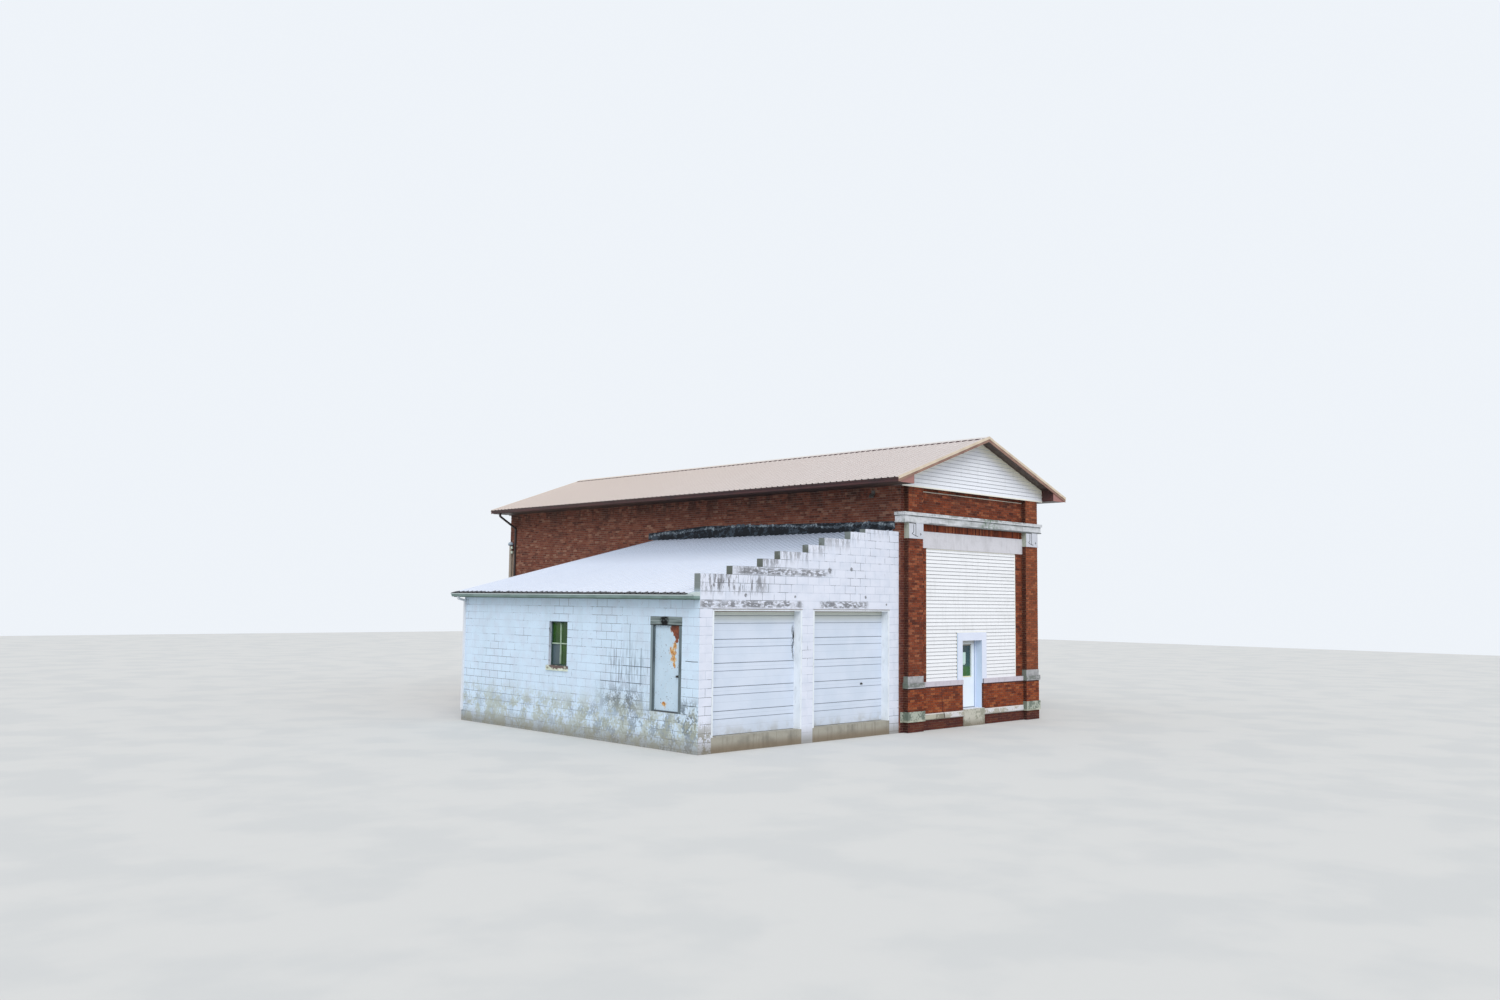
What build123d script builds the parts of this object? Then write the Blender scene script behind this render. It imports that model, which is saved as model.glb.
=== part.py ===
from build123d import *
from math import atan2, cos, degrees, radians, sin
import os

os.makedirs("parts", exist_ok=True)

# Main hall: brick walls, in millimetres, heights above the lowest ground
bank_width = 6840.0
bank_length = 19130.0
brick_wall = 330.0
bank_floor_z = 480.0
floor_slab = 150.0
soffit_z = 6730.0

# Main roof: ribbed sheet on a gable
roof_slope = 0.3554
roof_reach = 800.0
roof_under_z = 6840.0
sheet = 20.0
rib_pitch = 229.0
rib_high = 19.0
rib_wide = 60.0
rib_top = 25.0
fascia_reach = 713.0
return_width = 598.0
gable_wall = 320.0
front_overhang = 613.0
rear_overhang = 200.0
rake_board = 40.0
rake_step = 15.0
rake_upper = 72.0
rake_lower = 78.0
soffit_board = 15.0
ridge_leg = 190.0
ridge_sheet = 10.0

# Gutters and downspouts: the five gutter shares are of its width, foot and belly, and of its height
gutter_wide = 127.0
gutter_high = 98.0
gutter_skin = 6.0
gutter_foot = 0.62
gutter_belly = 0.68
gutter_bow_low = 0.28
gutter_bow_high = 0.82
gutter_bow = 0.72
annex_gutter_wide = 115.0
downspout_wide = 76.0
downspout_deep = 58.0
gutter_outlet = 0.3
spout_in = 375.0
spout_neck = 120.0
spout_drop = 560.0
spout_bend = 70.0
spout_foot = 300.0
annex_spout_in = 60.0
annex_spout_neck = 55.0
annex_spout_drop = 110.0
annex_spout_bend = 50.0

# Street front
base_low = 280.0
base_high = 450.0
base_proud = 75.0
sill_low = 1187.0
sill_high = 1320.0
sill_proud = 75.0
bulkhead_proud = 50.0
infill_high = 5040.0
infill_wall = 150.0
infill_set_back = 20.0
front_pier = 1170.0
panel_high = 5505.0
panel_proud = 28.0
stone_bed = 100.0
band_low = 5710.0
band_high = 5998.0
band_proud = 50.0
band_return = 170.0
band_foot_high = 28.8
band_foot_proud = 30.0
band_face_proud = 15.0
band_crown_from = 201.6
pilaster_in = 173.0
pilaster_wide = 645.0
pilaster_proud = 155.0
pedestal_in = 145.0
pedestal_wide = 695.0
pedestal_proud = 160.0
stone_over = 35.0
plinth_high = 555.0
corner_stone_proud = 20.0
die_step = 1335.0
die_high = 1510.0
capital_low = 5275.0
capital_over = 20.0
capital_lip = 12.0
capital_lip_high = 30.0

# Entrance
entrance_left = 2865.0
entrance_jamb = 21.0
entrance_high = 1957.0
reveal_board = 28.0
surround_wide = 230.0
surround_proud = 30.0
leaf_wide = 914.0
leaf_thick = 45.0
leaf_gap = 7.0
stop_wide = 12.0
stop_deep = 25.0
stop_clear = 5.0
entrance_set_back = 223.0
lite_wide = 540.0
lite_high = 890.0
lite_bottom = 915.0
glass_thick = 6.0
stoop_out = 95.0
handle_high = 960.0
handle_in = 65.0
side_handle_high = 850.0
knob_radius = 26.0
rose_radius = 30.0
rose_thick = 7.0
neck_radius = 10.0
knob_out = 62.0
knob_thick = 31.0
barrel_radius = 8.0
barrel_length = 99.0
barrel_gap = 0.3
hinge_shares = (0.09, 0.45, 0.83)
plate_thick = 3.0
plate_wide = 22.0

# Conduit under the front gable and twin lamp under the left eave
conduit_from = 1000.0
conduit_z = 6620.0
conduit_radius = 13.0
conduit_clips = 3
clip_wide = 20.0
clip_thick = 2.0
lamp_in = 940.0
lamp_z = 6570.0
lamp_plate = 110.0
lamp_plate_thick = 30.0
lamp_neck = 30.0
lamp_radius = 32.0
lamp_arm = 45.0
lamp_length = 95.0
lamp_droop = 1.2

# Garage annex: concrete blocks, 16 by 8 by 8 inches
half_block = 203.2
course = 203.2
block_wall = 203.2
block_datum = 266.8
annex_half_blocks = 36
annex_length_blocks = 25
annex_set_back = 43.0
annex_floor_z = 360.0
side_wall_courses = 16
head_courses = 15
pier_half_blocks = 2
parapet_courses = 19
parapet_steps = (5, 10, 13, 18, 21, 26, 29)
last_step = 0.5
annex_slope = 0.2434
annex_under_z = 3630.0
annex_roof_reach = 305.0
annex_fascia_reach = 225.0
annex_rear_overhang = 240.0
annex_gutter_front = 100.0
garage_board = 50.0
garage_set_back = 240.0
garage_door_thick = 45.0
garage_sections = 5
garage_rib = 6.0
garage_rib_share = 0.37
side_door_from = 715.0
side_sill_courses = 3
side_door_courses = 10
side_jamb = 100.0
side_set_back = 60.0
side_lintel_over = 8.0
side_lintel_proud = 10.0
window_from = 5105.0
window_wide = 813.0
window_head_courses = 13
window_sill_low = 1632.0
window_sill_high = 1760.0
window_sill_over = 65.0
window_sill_proud = 40.0
window_sill_bed = 115.0
window_set_back = 80.0
window_frame_deep = 70.0
window_stile = 28.0
window_bar = 24.0

# Wall flashing and electrical mast
flashing_thick = 12.0
flashing_from = 130.0
flashing_to = 10700.0
flashing_front = 215.0
flashing_mid = 360.0
flashing_mid_at = 7900.0
mast_radius = 57.0
mast_top = 5560.0
mast_head = 62.0
mast_head_top = 22.8
mast_head_high = 110.0
mast_in = 130.0
mast_clear = 8.0
mast_clamps = (900.0, 2600.0, 4300.0, 5300.0)
clamp_high = 40.0

# Places that follow from the driving sizes, with the origin under the middle of the box
block = 2 * half_block
annex_width = annex_half_blocks * half_block
annex_length = annex_length_blocks * block
left_reach = annex_width + annex_fascia_reach + annex_gutter_wide
right_reach = bank_width + fascia_reach + gutter_wide
left = (left_reach - right_reach) / 2
right = left + bank_width
middle = left + bank_width / 2
front = front_overhang - (front_overhang + bank_length + rear_overhang) / 2
rear = front + bank_length
annex_front = front + annex_set_back
annex_rear = annex_front + annex_length
annex_left = left - annex_width
inner_left = left + brick_wall
inner_right = right - brick_wall
inner_front = front + brick_wall
inner_rear = rear - brick_wall
pitch = degrees(atan2(roof_slope, 1))
annex_pitch = degrees(atan2(annex_slope, 1))
side_wall_top = block_datum + side_wall_courses * course
opening_head = block_datum + head_courses * course
entrance_clear = leaf_wide + 2 * (entrance_jamb + leaf_gap)
gable_front = front - pilaster_proud
gable_inside = gable_front + gable_wall


def roof_under(x):
    """Underside of the main roof at a place across the hall."""
    return roof_under_z + roof_slope * (roof_reach + bank_width / 2 - abs(x - middle))


def annex_under(x):
    """Underside of the annex roof at a place across the annex."""
    return annex_under_z + annex_slope * (x - annex_left + annex_roof_reach)


def from_behind(y):
    """Upright plane across the building, whose extrusions run towards the street."""
    return Plane.XZ.offset(-y)


def rect(u0, u1, v0, v1, mode=Mode.ADD):
    """Rectangle between its limits, in the sketch that is open."""
    with Locations(((u0 + u1) / 2, (v0 + v1) / 2)):
        Rectangle(u1 - u0, v1 - v0, mode=mode)


def slab(x, y, z, mode=Mode.ADD):
    """Plain block between its limits, in the part that is open."""
    with Locations((x[0], y[0], z[0])):
        Box(x[1] - x[0], y[1] - y[0], z[1] - z[0], align=(Align.MIN,) * 3, mode=mode)


def chevron(x_out, above, below):
    """Outline that follows both roof slopes, between two heights off the underside."""
    low = 2 * middle - x_out
    Polyline(
        (x_out, roof_under(x_out) + below), (middle, roof_under(middle) + below),
        (low, roof_under(x_out) + below), (low, roof_under(x_out) + above),
        (middle, roof_under(middle) + above), (x_out, roof_under(x_out) + above), close=True)


def ribbed_outline(run, first, pitch_length):
    """Section of a ribbed sheet: flat below, with a raised rib at each pitch."""
    points = [(0, 0), (0, sheet)]
    at = first
    while at + rib_wide / 2 < run:
        for u, v in ((-rib_wide / 2, 0), (-rib_top / 2, rib_high),
                     (rib_top / 2, rib_high), (rib_wide / 2, 0)):
            points.append((at + u, sheet + v))
        at += pitch_length
    return points + [(run, sheet), (run, 0)]


def gutter_strips(back_x, start_y, end_y, z, deep):
    """Gutter on a low-x eave: back, floor, curved face and two ends as strips around an open channel."""
    foot = deep * gutter_foot
    with BuildPart() as back_strip:
        slab((back_x - gutter_skin, back_x), (start_y, end_y), (z, z + gutter_high))
    with BuildPart() as floor_strip:
        slab((back_x - foot + gutter_skin, back_x - gutter_skin), (start_y, end_y), (z, z + gutter_skin))
    with BuildPart() as ends:
        for y in (start_y, end_y - gutter_skin):
            slab((back_x - foot + gutter_skin, back_x - gutter_skin), (y, y + gutter_skin),
                 (z + gutter_skin, z + gutter_high))
    low, high = (-deep * gutter_belly, gutter_high * gutter_bow_low), (-deep, gutter_high * gutter_bow_high)
    inner_low, inner_high = (low[0] + gutter_skin, low[1] + gutter_skin), (high[0] + gutter_skin, high[1])
    lip = -deep + 2 * gutter_skin
    with BuildPart() as face:
        with BuildSketch(Plane(origin=(back_x, end_y, z), x_dir=(1, 0, 0), z_dir=(0, -1, 0))):
            with BuildLine():
                Polyline((-foot + gutter_skin, 0), (-foot, 0), low)
                RadiusArc(low, high, -gutter_high * gutter_bow)
                Polyline(high, (-deep, gutter_high), (lip, gutter_high), (lip, gutter_high - gutter_skin),
                         (-deep + gutter_skin, gutter_high - gutter_skin), inner_high)
                RadiusArc(inner_high, inner_low, gutter_high * gutter_bow)
                Polyline(inner_low, (-foot + gutter_skin, gutter_skin), (-foot + gutter_skin, 0))
            make_face()
        extrude(amount=end_y - start_y)
    strips = (back_strip, floor_strip, ends, face)
    return Compound([solid for strip in strips for solid in strip.part.solids()])


def barrels(at, z_list, thirds):
    """Hinge barrels on one upright axis: the outer thirds or the middle third of each."""
    third = barrel_length / 3
    for z in z_list:
        for n in thirds:
            low = z + n * third + (barrel_gap / 2 if n else 0)
            high = z + (n + 1) * third - (barrel_gap / 2 if n < 2 else 0)
            with Locations((at[0], at[1], low)):
                Cylinder(barrel_radius, high - low, align=(Align.CENTER, Align.CENTER, Align.MIN))


# Main hall
with BuildPart() as bank_left_wall:
    slab((left, inner_left), (front, rear), (0, soffit_z))

with BuildPart() as bank_right_wall:
    slab((inner_right, right), (front, rear), (0, soffit_z))

with BuildPart() as bank_rear_wall:
    slab((inner_left, inner_right), (inner_rear, rear), (0, soffit_z))

with BuildPart() as bank_floor:
    slab((inner_left, inner_right), (inner_front, inner_rear), (bank_floor_z - floor_slab, bank_floor_z))

# Street front, from the ground up
door_left = left + entrance_left
door_right = door_left + entrance_clear
masonry_left = door_left - reveal_board
masonry_right = door_right + reveal_board
pier_left = left + front_pier
pier_right = right - front_pier
door_head = bank_floor_z + entrance_high
die_edge = left + pedestal_in + pedestal_wide
stone_edge = die_edge + stone_over

with BuildPart() as front_foundation:
    slab((inner_left, inner_right), (front, inner_front), (0, base_high))

with BuildPart() as front_piers:
    slab((inner_left, pier_left), (front, inner_front), (base_high, infill_high))
    slab((pier_right, inner_right), (front, inner_front), (base_high, infill_high))

with BuildPart() as bulkheads:
    for x in ((pier_left, masonry_left), (masonry_right, pier_right)):
        slab(x, (front, inner_front), (base_high, sill_low))
    for low, high, edge in ((0, base_low, die_edge), (base_high, plinth_high, stone_edge),
                            (plinth_high, sill_low, die_edge)):
        for x in ((edge, masonry_left), (masonry_right, 2 * middle - edge)):
            slab(x, (front - bulkhead_proud, front), (low, high))

with BuildPart() as base_course:
    for x in ((stone_edge, masonry_left), (masonry_right, 2 * middle - stone_edge)):
        slab(x, (front - base_proud, front), (base_low, base_high))

with BuildPart() as bulkhead_sills:
    for x in ((pier_left, masonry_left), (masonry_right, pier_right)):
        slab(x, (front, front + stone_bed), (sill_low, sill_high))
    for x in ((stone_edge, masonry_left), (masonry_right, 2 * middle - stone_edge)):
        slab(x, (front - sill_proud, front), (sill_low, sill_high))

with BuildPart() as infill_sides:
    for x in ((pier_left, masonry_left), (masonry_right, pier_right)):
        with BuildSketch(Plane.YZ.offset(x[0])):
            rect(front + infill_set_back, front + infill_set_back + infill_wall, sill_high, infill_high)
            rect(front + stone_bed, front + infill_set_back + infill_wall, sill_low, sill_high)
        extrude(amount=x[1] - x[0])

with BuildPart() as infill_top:
    slab((masonry_left, masonry_right), (front + infill_set_back, front + infill_set_back + infill_wall),
         (door_head + reveal_board, infill_high))

with BuildPart() as front_wall_top:
    slab((inner_left, inner_right), (front, inner_front), (infill_high, soffit_z))
    slab((left + pilaster_in + pilaster_wide, right - pilaster_in - pilaster_wide),
         (front, front + stone_bed), (infill_high, panel_high), mode=Mode.SUBTRACT)

with BuildPart() as name_panel:
    slab((left + pilaster_in + pilaster_wide, right - pilaster_in - pilaster_wide),
         (front - panel_proud, front + stone_bed), (infill_high, panel_high))

with BuildPart() as pedestals:
    for z in ((0, base_low), (plinth_high, sill_low)):
        slab((left + pedestal_in, die_edge), (front - pedestal_proud, front), z)
    mirror(about=Plane.YZ.offset(middle))

with BuildPart() as pedestal_stones:
    slab((left, left + pedestal_in), (front - corner_stone_proud, front), (base_low, plinth_high))
    for z in ((base_low, plinth_high), (sill_low, die_step)):
        slab((left + pedestal_in - stone_over, stone_edge), (front - pedestal_proud - stone_over, front), z)
    slab((left + pedestal_in, die_edge), (front - pedestal_proud, front), (die_step, die_high))
    mirror(about=Plane.YZ.offset(middle))

with BuildPart() as pilasters:
    for z in ((die_high, capital_low), (band_high, soffit_z)):
        slab((left + pilaster_in, left + pilaster_in + pilaster_wide), (front - pilaster_proud, front), z)
    mirror(about=Plane.YZ.offset(middle))

with BuildPart() as capitals:
    with BuildSketch(from_behind(front)):
        rect(left + pilaster_in, left + pilaster_in + pilaster_wide, capital_low, band_low)
    extrude(amount=pilaster_proud + capital_over)
    slab((left + pilaster_in - capital_lip, left + pilaster_in + pilaster_wide + capital_lip),
         (front - pilaster_proud - capital_over - capital_lip, front - pilaster_proud),
         (capital_low, capital_low + capital_lip_high))
    mirror(about=Plane.YZ.offset(middle))

with BuildPart() as cornice_band:
    slab((left, right), (front - pilaster_proud, front), (band_low, band_high))
    with BuildLine() as band_path:
        Polyline((left, front + band_return, band_low), (left, front - pilaster_proud, band_low),
                 (right, front - pilaster_proud, band_low), (right, front + band_return, band_low))
    with BuildSketch(Plane(origin=(left, front + band_return, band_low), x_dir=(-1, 0, 0), z_dir=(0, 1, 0))):
        rect(0, band_foot_proud, 0, band_foot_high)
        rect(0, band_face_proud, band_foot_high, band_high - band_low)
        rect(0, band_proud, band_crown_from, band_high - band_low)
    sweep(path=band_path.line, transition=Transition.RIGHT)

# Entrance: surround, leaf, lite and handle
leaf_left = door_left + entrance_jamb + leaf_gap
leaf_right = leaf_left + leaf_wide
leaf_front = front + entrance_set_back
leaf_back = leaf_front + leaf_thick
leaf_low = bank_floor_z + leaf_gap
leaf_high = door_head - leaf_gap
entrance_axis = (leaf_right + leaf_gap / 2, leaf_back + barrel_radius)
entrance_hinges = [leaf_low + share * (leaf_high - leaf_low) for share in hinge_shares]

with BuildPart() as door_surround:
    with BuildSketch(from_behind(inner_front)):
        rect(masonry_left, masonry_right, bank_floor_z, door_head + reveal_board)
        rect(door_left, door_right, bank_floor_z, door_head, mode=Mode.SUBTRACT)
    extrude(amount=brick_wall)
    with BuildSketch(from_behind(front)):
        rect(door_left - surround_wide, door_right + surround_wide, sill_high, door_head + surround_wide)
        rect(door_left, door_right, bank_floor_z, sill_high)
        rect(door_left - reveal_board, door_right + reveal_board, sill_low, sill_high)
        rect(door_left, door_right, bank_floor_z, door_head, mode=Mode.SUBTRACT)
    extrude(amount=surround_proud)
    with BuildSketch(from_behind(leaf_back)):
        rect(door_left, door_right, bank_floor_z, door_head)
        rect(door_left + entrance_jamb, door_right - entrance_jamb, bank_floor_z, door_head,
             mode=Mode.SUBTRACT)
    extrude(amount=leaf_thick + stop_clear)
    with BuildSketch(from_behind(leaf_front - stop_clear)):
        rect(door_left, door_right, bank_floor_z, door_head)
        rect(door_left + entrance_jamb + stop_wide, door_right - entrance_jamb - stop_wide, bank_floor_z,
             door_head - stop_wide, mode=Mode.SUBTRACT)
    extrude(amount=stop_deep)
    for z in entrance_hinges:
        slab((entrance_axis[0], entrance_axis[0] + plate_wide), (leaf_back, leaf_back + plate_thick),
             (z, z + barrel_length / 3 - barrel_gap / 2))
        slab((entrance_axis[0], entrance_axis[0] + plate_wide), (leaf_back, leaf_back + plate_thick),
             (z + barrel_length * 2 / 3 + barrel_gap / 2, z + barrel_length))
    barrels(entrance_axis, entrance_hinges, (0, 2))

lite_left = (leaf_left + leaf_right - lite_wide) / 2
lite_low = bank_floor_z + lite_bottom
with BuildPart() as entrance_door:
    with BuildSketch(from_behind(leaf_back)):
        rect(leaf_left, leaf_right, leaf_low, leaf_high)
        rect(lite_left, lite_left + lite_wide, lite_low, lite_low + lite_high, mode=Mode.SUBTRACT)
    extrude(amount=leaf_thick)
    for z in entrance_hinges:
        slab((entrance_axis[0] - plate_wide, entrance_axis[0]), (leaf_back, leaf_back + plate_thick),
             (z + barrel_length / 3 + barrel_gap / 2, z + barrel_length * 2 / 3 - barrel_gap / 2))
    barrels(entrance_axis, entrance_hinges, (1,))

with BuildPart() as entrance_glass:
    slab((lite_left, lite_left + lite_wide),
         ((leaf_front + leaf_back - glass_thick) / 2, (leaf_front + leaf_back + glass_thick) / 2),
         (lite_low, lite_low + lite_high))


def knob_outline():
    """Half section of a knob and its rose: away from the leaf is down, the spindle is on the left."""
    Polyline((0, 0), (rose_radius, 0), (rose_radius, -rose_thick), (neck_radius, -rose_thick),
             (neck_radius, knob_thick - knob_out), (knob_radius, knob_thick - knob_out),
             (knob_radius, -knob_out), (0, -knob_out), close=True)


knob_x = leaf_left + handle_in
knob_z = bank_floor_z + handle_high
with BuildPart() as entrance_handle:
    with BuildSketch(Plane(origin=(knob_x, leaf_front, knob_z), x_dir=(1, 0, 0), z_dir=(0, 0, 1))):
        with BuildLine():
            knob_outline()
        make_face()
    revolve(axis=Axis((knob_x, leaf_front, knob_z), (0, 1, 0)))
    mirror(about=from_behind((leaf_front + leaf_back) / 2))

with BuildPart() as stoop:
    slab((masonry_left, masonry_right), (front - stoop_out, front), (0, bank_floor_z))
    slab((masonry_left, masonry_right), (front, inner_front), (base_high, bank_floor_z))

# Main roof and its gables
roof_front = front - front_overhang
roof_rear = rear + rear_overhang
sheet_front = roof_front + rake_board
sheet_rear = roof_rear - rake_board
eave_x = left - roof_reach
slope_length = (bank_width / 2 + roof_reach) / cos(radians(pitch))
up_slope = (cos(radians(pitch)), 0, sin(radians(pitch)))

with BuildPart() as roof_left:
    with BuildSketch(Plane(origin=(eave_x, sheet_front, roof_under_z), x_dir=(0, 1, 0), z_dir=up_slope)):
        with BuildLine():
            Polyline(*ribbed_outline(sheet_rear - sheet_front, rib_pitch / 2, rib_pitch), close=True)
        make_face()
    extrude(amount=slope_length)

with BuildPart() as roof_right:
    mirror(roof_left.part, about=Plane.YZ.offset(middle))

rib_rise = (sheet + rib_high) / cos(radians(pitch))
with BuildPart() as ridge_cap:
    with BuildSketch(from_behind(roof_rear)):
        with BuildLine():
            chevron(middle - ridge_leg, rib_rise + ridge_sheet, rib_rise)
        make_face()
    extrude(amount=roof_rear - roof_front)

with BuildPart() as rake_trims:
    for y, outward in ((sheet_front, 1), (sheet_rear, -1)):
        with BuildSketch(from_behind(y)):
            with BuildLine():
                chevron(eave_x, rib_rise, rib_rise - rake_upper)
            make_face()
        extrude(amount=rake_board * outward)
        with BuildSketch(from_behind(y)):
            with BuildLine():
                chevron(eave_x, rib_rise - rake_upper, rib_rise - rake_upper - rake_lower)
            make_face()
        extrude(amount=(rake_board - rake_step) * outward)

gable_x = left - fascia_reach + return_width
with BuildPart() as gable_soffits:
    for y0, y1 in ((sheet_front, gable_front), (rear, sheet_rear)):
        with BuildSketch(from_behind(y1)):
            with BuildLine():
                chevron(gable_x, 0, -soffit_board)
            make_face()
        extrude(amount=y1 - y0)


def gable_outline():
    """Gable wall outline, up to the underside of the roof."""
    far_x = 2 * middle - gable_x
    Polyline((gable_x, soffit_z), (far_x, soffit_z), (far_x, roof_under(far_x)),
             (middle, roof_under(middle)), (gable_x, roof_under(gable_x)), close=True)


with BuildPart() as front_gable:
    with BuildSketch(from_behind(gable_inside)):
        with BuildLine():
            gable_outline()
        make_face()
    extrude(amount=gable_wall)

with BuildPart() as rear_gable:
    with BuildSketch(from_behind(rear)):
        with BuildLine():
            gable_outline()
        make_face()
    extrude(amount=gable_wall)

with BuildPart() as eave_boxes:
    for x_in, y0, y1 in ((gable_x, sheet_front, sheet_rear), (inner_left, gable_inside, rear - gable_wall)):
        with BuildSketch(from_behind(y1)):
            with BuildLine():
                Polyline((left - fascia_reach, soffit_z), (x_in, soffit_z), (x_in, roof_under(x_in)),
                         (left - fascia_reach, roof_under(left - fascia_reach)), close=True)
            make_face()
        extrude(amount=y1 - y0)
    mirror(about=Plane.YZ.offset(middle))

gutter_z = roof_under_z - gutter_high
gutter_left = gutter_strips(left - fascia_reach, sheet_front, sheet_rear, gutter_z, gutter_wide)
gutter_right = gutter_left.mirror(Plane.YZ.offset(middle))

spout_y = rear - spout_in
spout_x = left - downspout_deep / 2
spout_start = left - fascia_reach - gutter_wide * gutter_outlet
with BuildPart() as downspouts:
    with BuildLine() as spout_path:
        FilletPolyline((spout_start, spout_y, gutter_z), (spout_start, spout_y, gutter_z - spout_neck),
                       (spout_x, spout_y, gutter_z - spout_drop), (spout_x, spout_y, spout_foot),
                       radius=spout_bend)
    with BuildSketch(Plane(origin=spout_path.line @ 0, x_dir=(1, 0, 0), z_dir=(0, 0, -1))):
        Rectangle(downspout_deep, downspout_wide)
    sweep(path=spout_path.line)
    mirror(about=Plane.YZ.offset(middle))

mast_x = left - mast_radius - mast_clear
mast_y = rear - mast_in
with BuildPart() as service_mast:
    with BuildSketch(Plane.XY):
        with Locations((mast_x, mast_y)):
            Circle(mast_radius)
    extrude(amount=mast_top)
    with Locations((mast_x, mast_y, mast_top)):
        Cone(mast_head, mast_head_top, mast_head_high, align=(Align.CENTER, Align.CENTER, Align.MIN))
    for z in mast_clamps:
        slab((mast_x, left), (mast_y - mast_radius, mast_y + mast_radius), (z, z + clamp_high))

conduit_long = right - pilaster_in - pilaster_wide - left - conduit_from
with BuildPart() as gable_conduit:
    with BuildSketch(Plane.YZ.offset(left + conduit_from)):
        with Locations((front - conduit_radius, conduit_z)):
            Circle(conduit_radius)
    extrude(amount=conduit_long)
    for n in range(conduit_clips):
        x = left + conduit_from + conduit_long * (n + 0.5) / conduit_clips
        slab((x, x + clip_wide), (front - 2 * conduit_radius - clip_thick, front),
             (conduit_z - conduit_radius - clip_thick, conduit_z + conduit_radius + clip_thick))

lamp_y = front + lamp_in
with BuildPart() as floodlight:
    slab((left - lamp_plate_thick, left), (lamp_y - lamp_plate / 2, lamp_y + lamp_plate / 2),
         (lamp_z - lamp_plate / 2, lamp_z + lamp_plate / 2))
    for y in (lamp_y - lamp_plate / 4, lamp_y + lamp_plate / 4):
        tilt = Plane(origin=(left - lamp_plate_thick, y, lamp_z - lamp_plate / 4),
                     z_dir=(-1, (y - lamp_y) / lamp_plate, -lamp_droop))
        with BuildSketch(tilt):
            Rectangle(lamp_neck, lamp_neck)
        extrude(amount=lamp_arm)
        with BuildSketch(tilt.offset(lamp_arm)):
            Circle(lamp_radius)
        extrude(amount=lamp_length)

# Garage annex walls
annex_inside = annex_left + block_wall
annex_back = annex_rear - block_wall
annex_inner_front = annex_front + block_wall
pier = pier_half_blocks * half_block
bay = (annex_width - 3 * pier) / 2
bays = [annex_left + pier, annex_left + 2 * pier + bay]
side_from = annex_front + side_door_from - leaf_gap
side_to = side_from + leaf_wide + 2 * leaf_gap
side_sill = block_datum + side_sill_courses * course
side_head = side_sill + side_door_courses * course

with BuildPart() as annex_floor:
    slab((annex_inside, left), (annex_inner_front, annex_back), (annex_floor_z - floor_slab, annex_floor_z))
    for x in bays:
        slab((x, x + bay), (annex_front, annex_inner_front), (0, annex_floor_z))

with BuildPart() as garage_piers:
    for n in range(3):
        x = annex_left + n * (pier + bay)
        slab((x, x + pier), (annex_front, annex_inner_front), (0, opening_head))

with BuildPart() as stepped_parapet:
    with BuildSketch(from_behind(annex_inner_front)):
        with BuildLine():
            top = block_datum + parapet_courses * course
            points = [(annex_left, opening_head), (annex_left, top)]
            for n, at in enumerate(parapet_steps):
                x = annex_left + at * half_block
                rise = course * (last_step if n == len(parapet_steps) - 1 else 1)
                points += [(x, top), (x, top + rise)]
                top += rise
            Polyline(*points, (left, top), (left, opening_head), close=True)
        make_face()
    extrude(amount=block_wall)

with BuildPart() as annex_side_front:
    slab((annex_left, annex_inside), (annex_inner_front, side_from - side_jamb), (0, side_wall_top))

with BuildPart() as annex_door_wall:
    slab((annex_left, annex_inside), (side_from - side_jamb, side_to + side_jamb), (0, side_sill))
    slab((annex_left, annex_inside), (side_from - side_jamb, side_to + side_jamb),
         (side_head + course, side_wall_top))

window_y = annex_front + window_from
window_head = block_datum + window_head_courses * course
with BuildPart() as annex_side_rear:
    with BuildSketch(Plane.YZ.offset(annex_left)):
        rect(side_to + side_jamb, annex_back, 0, side_wall_top)
        rect(window_y, window_y + window_wide, window_sill_high, window_head, mode=Mode.SUBTRACT)
    extrude(amount=block_wall)
    slab((annex_left, annex_left + window_sill_bed),
         (window_y - window_sill_over, window_y + window_wide + window_sill_over),
         (window_sill_low, window_sill_high), mode=Mode.SUBTRACT)

with BuildPart() as annex_rear_wall:
    with BuildSketch(from_behind(annex_rear)):
        with BuildLine():
            Polyline((annex_left, 0), (left, 0), (left, annex_under(left)),
                     (annex_left, annex_under(annex_left)), close=True)
        make_face()
    extrude(amount=block_wall)

# Annex roof, eave and rainwater goods
annex_roof_rear = annex_rear + annex_rear_overhang
annex_eave_x = annex_left - annex_roof_reach
annex_up = (cos(radians(annex_pitch)), 0, sin(radians(annex_pitch)))
with BuildPart() as annex_roof:
    with BuildSketch(Plane(origin=(annex_eave_x, annex_inner_front, annex_under_z), x_dir=(0, 1, 0),
                           z_dir=annex_up)):
        with BuildLine():
            along_eave = annex_roof_rear - annex_inner_front
            Polyline(*ribbed_outline(along_eave, rib_pitch / 2, rib_pitch), close=True)
        make_face()
    extrude(amount=(annex_width + annex_roof_reach) / cos(radians(annex_pitch)))

with BuildPart() as annex_eave_box:
    fascia_x = annex_left - annex_fascia_reach
    for x_in, y0, y1 in ((annex_left, annex_front, annex_roof_rear),
                         (annex_inside, annex_inner_front, annex_back)):
        with BuildSketch(from_behind(y1)):
            with BuildLine():
                Polyline((fascia_x, side_wall_top), (x_in, side_wall_top), (x_in, annex_under(x_in)),
                         (fascia_x, annex_under(fascia_x)), close=True)
            make_face()
        extrude(amount=y1 - y0)

annex_gutter_z = annex_under_z - gutter_high
annex_gutter_start = annex_front - annex_gutter_front
annex_gutter = gutter_strips(fascia_x, annex_gutter_start, annex_roof_rear, annex_gutter_z,
                             annex_gutter_wide)

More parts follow.
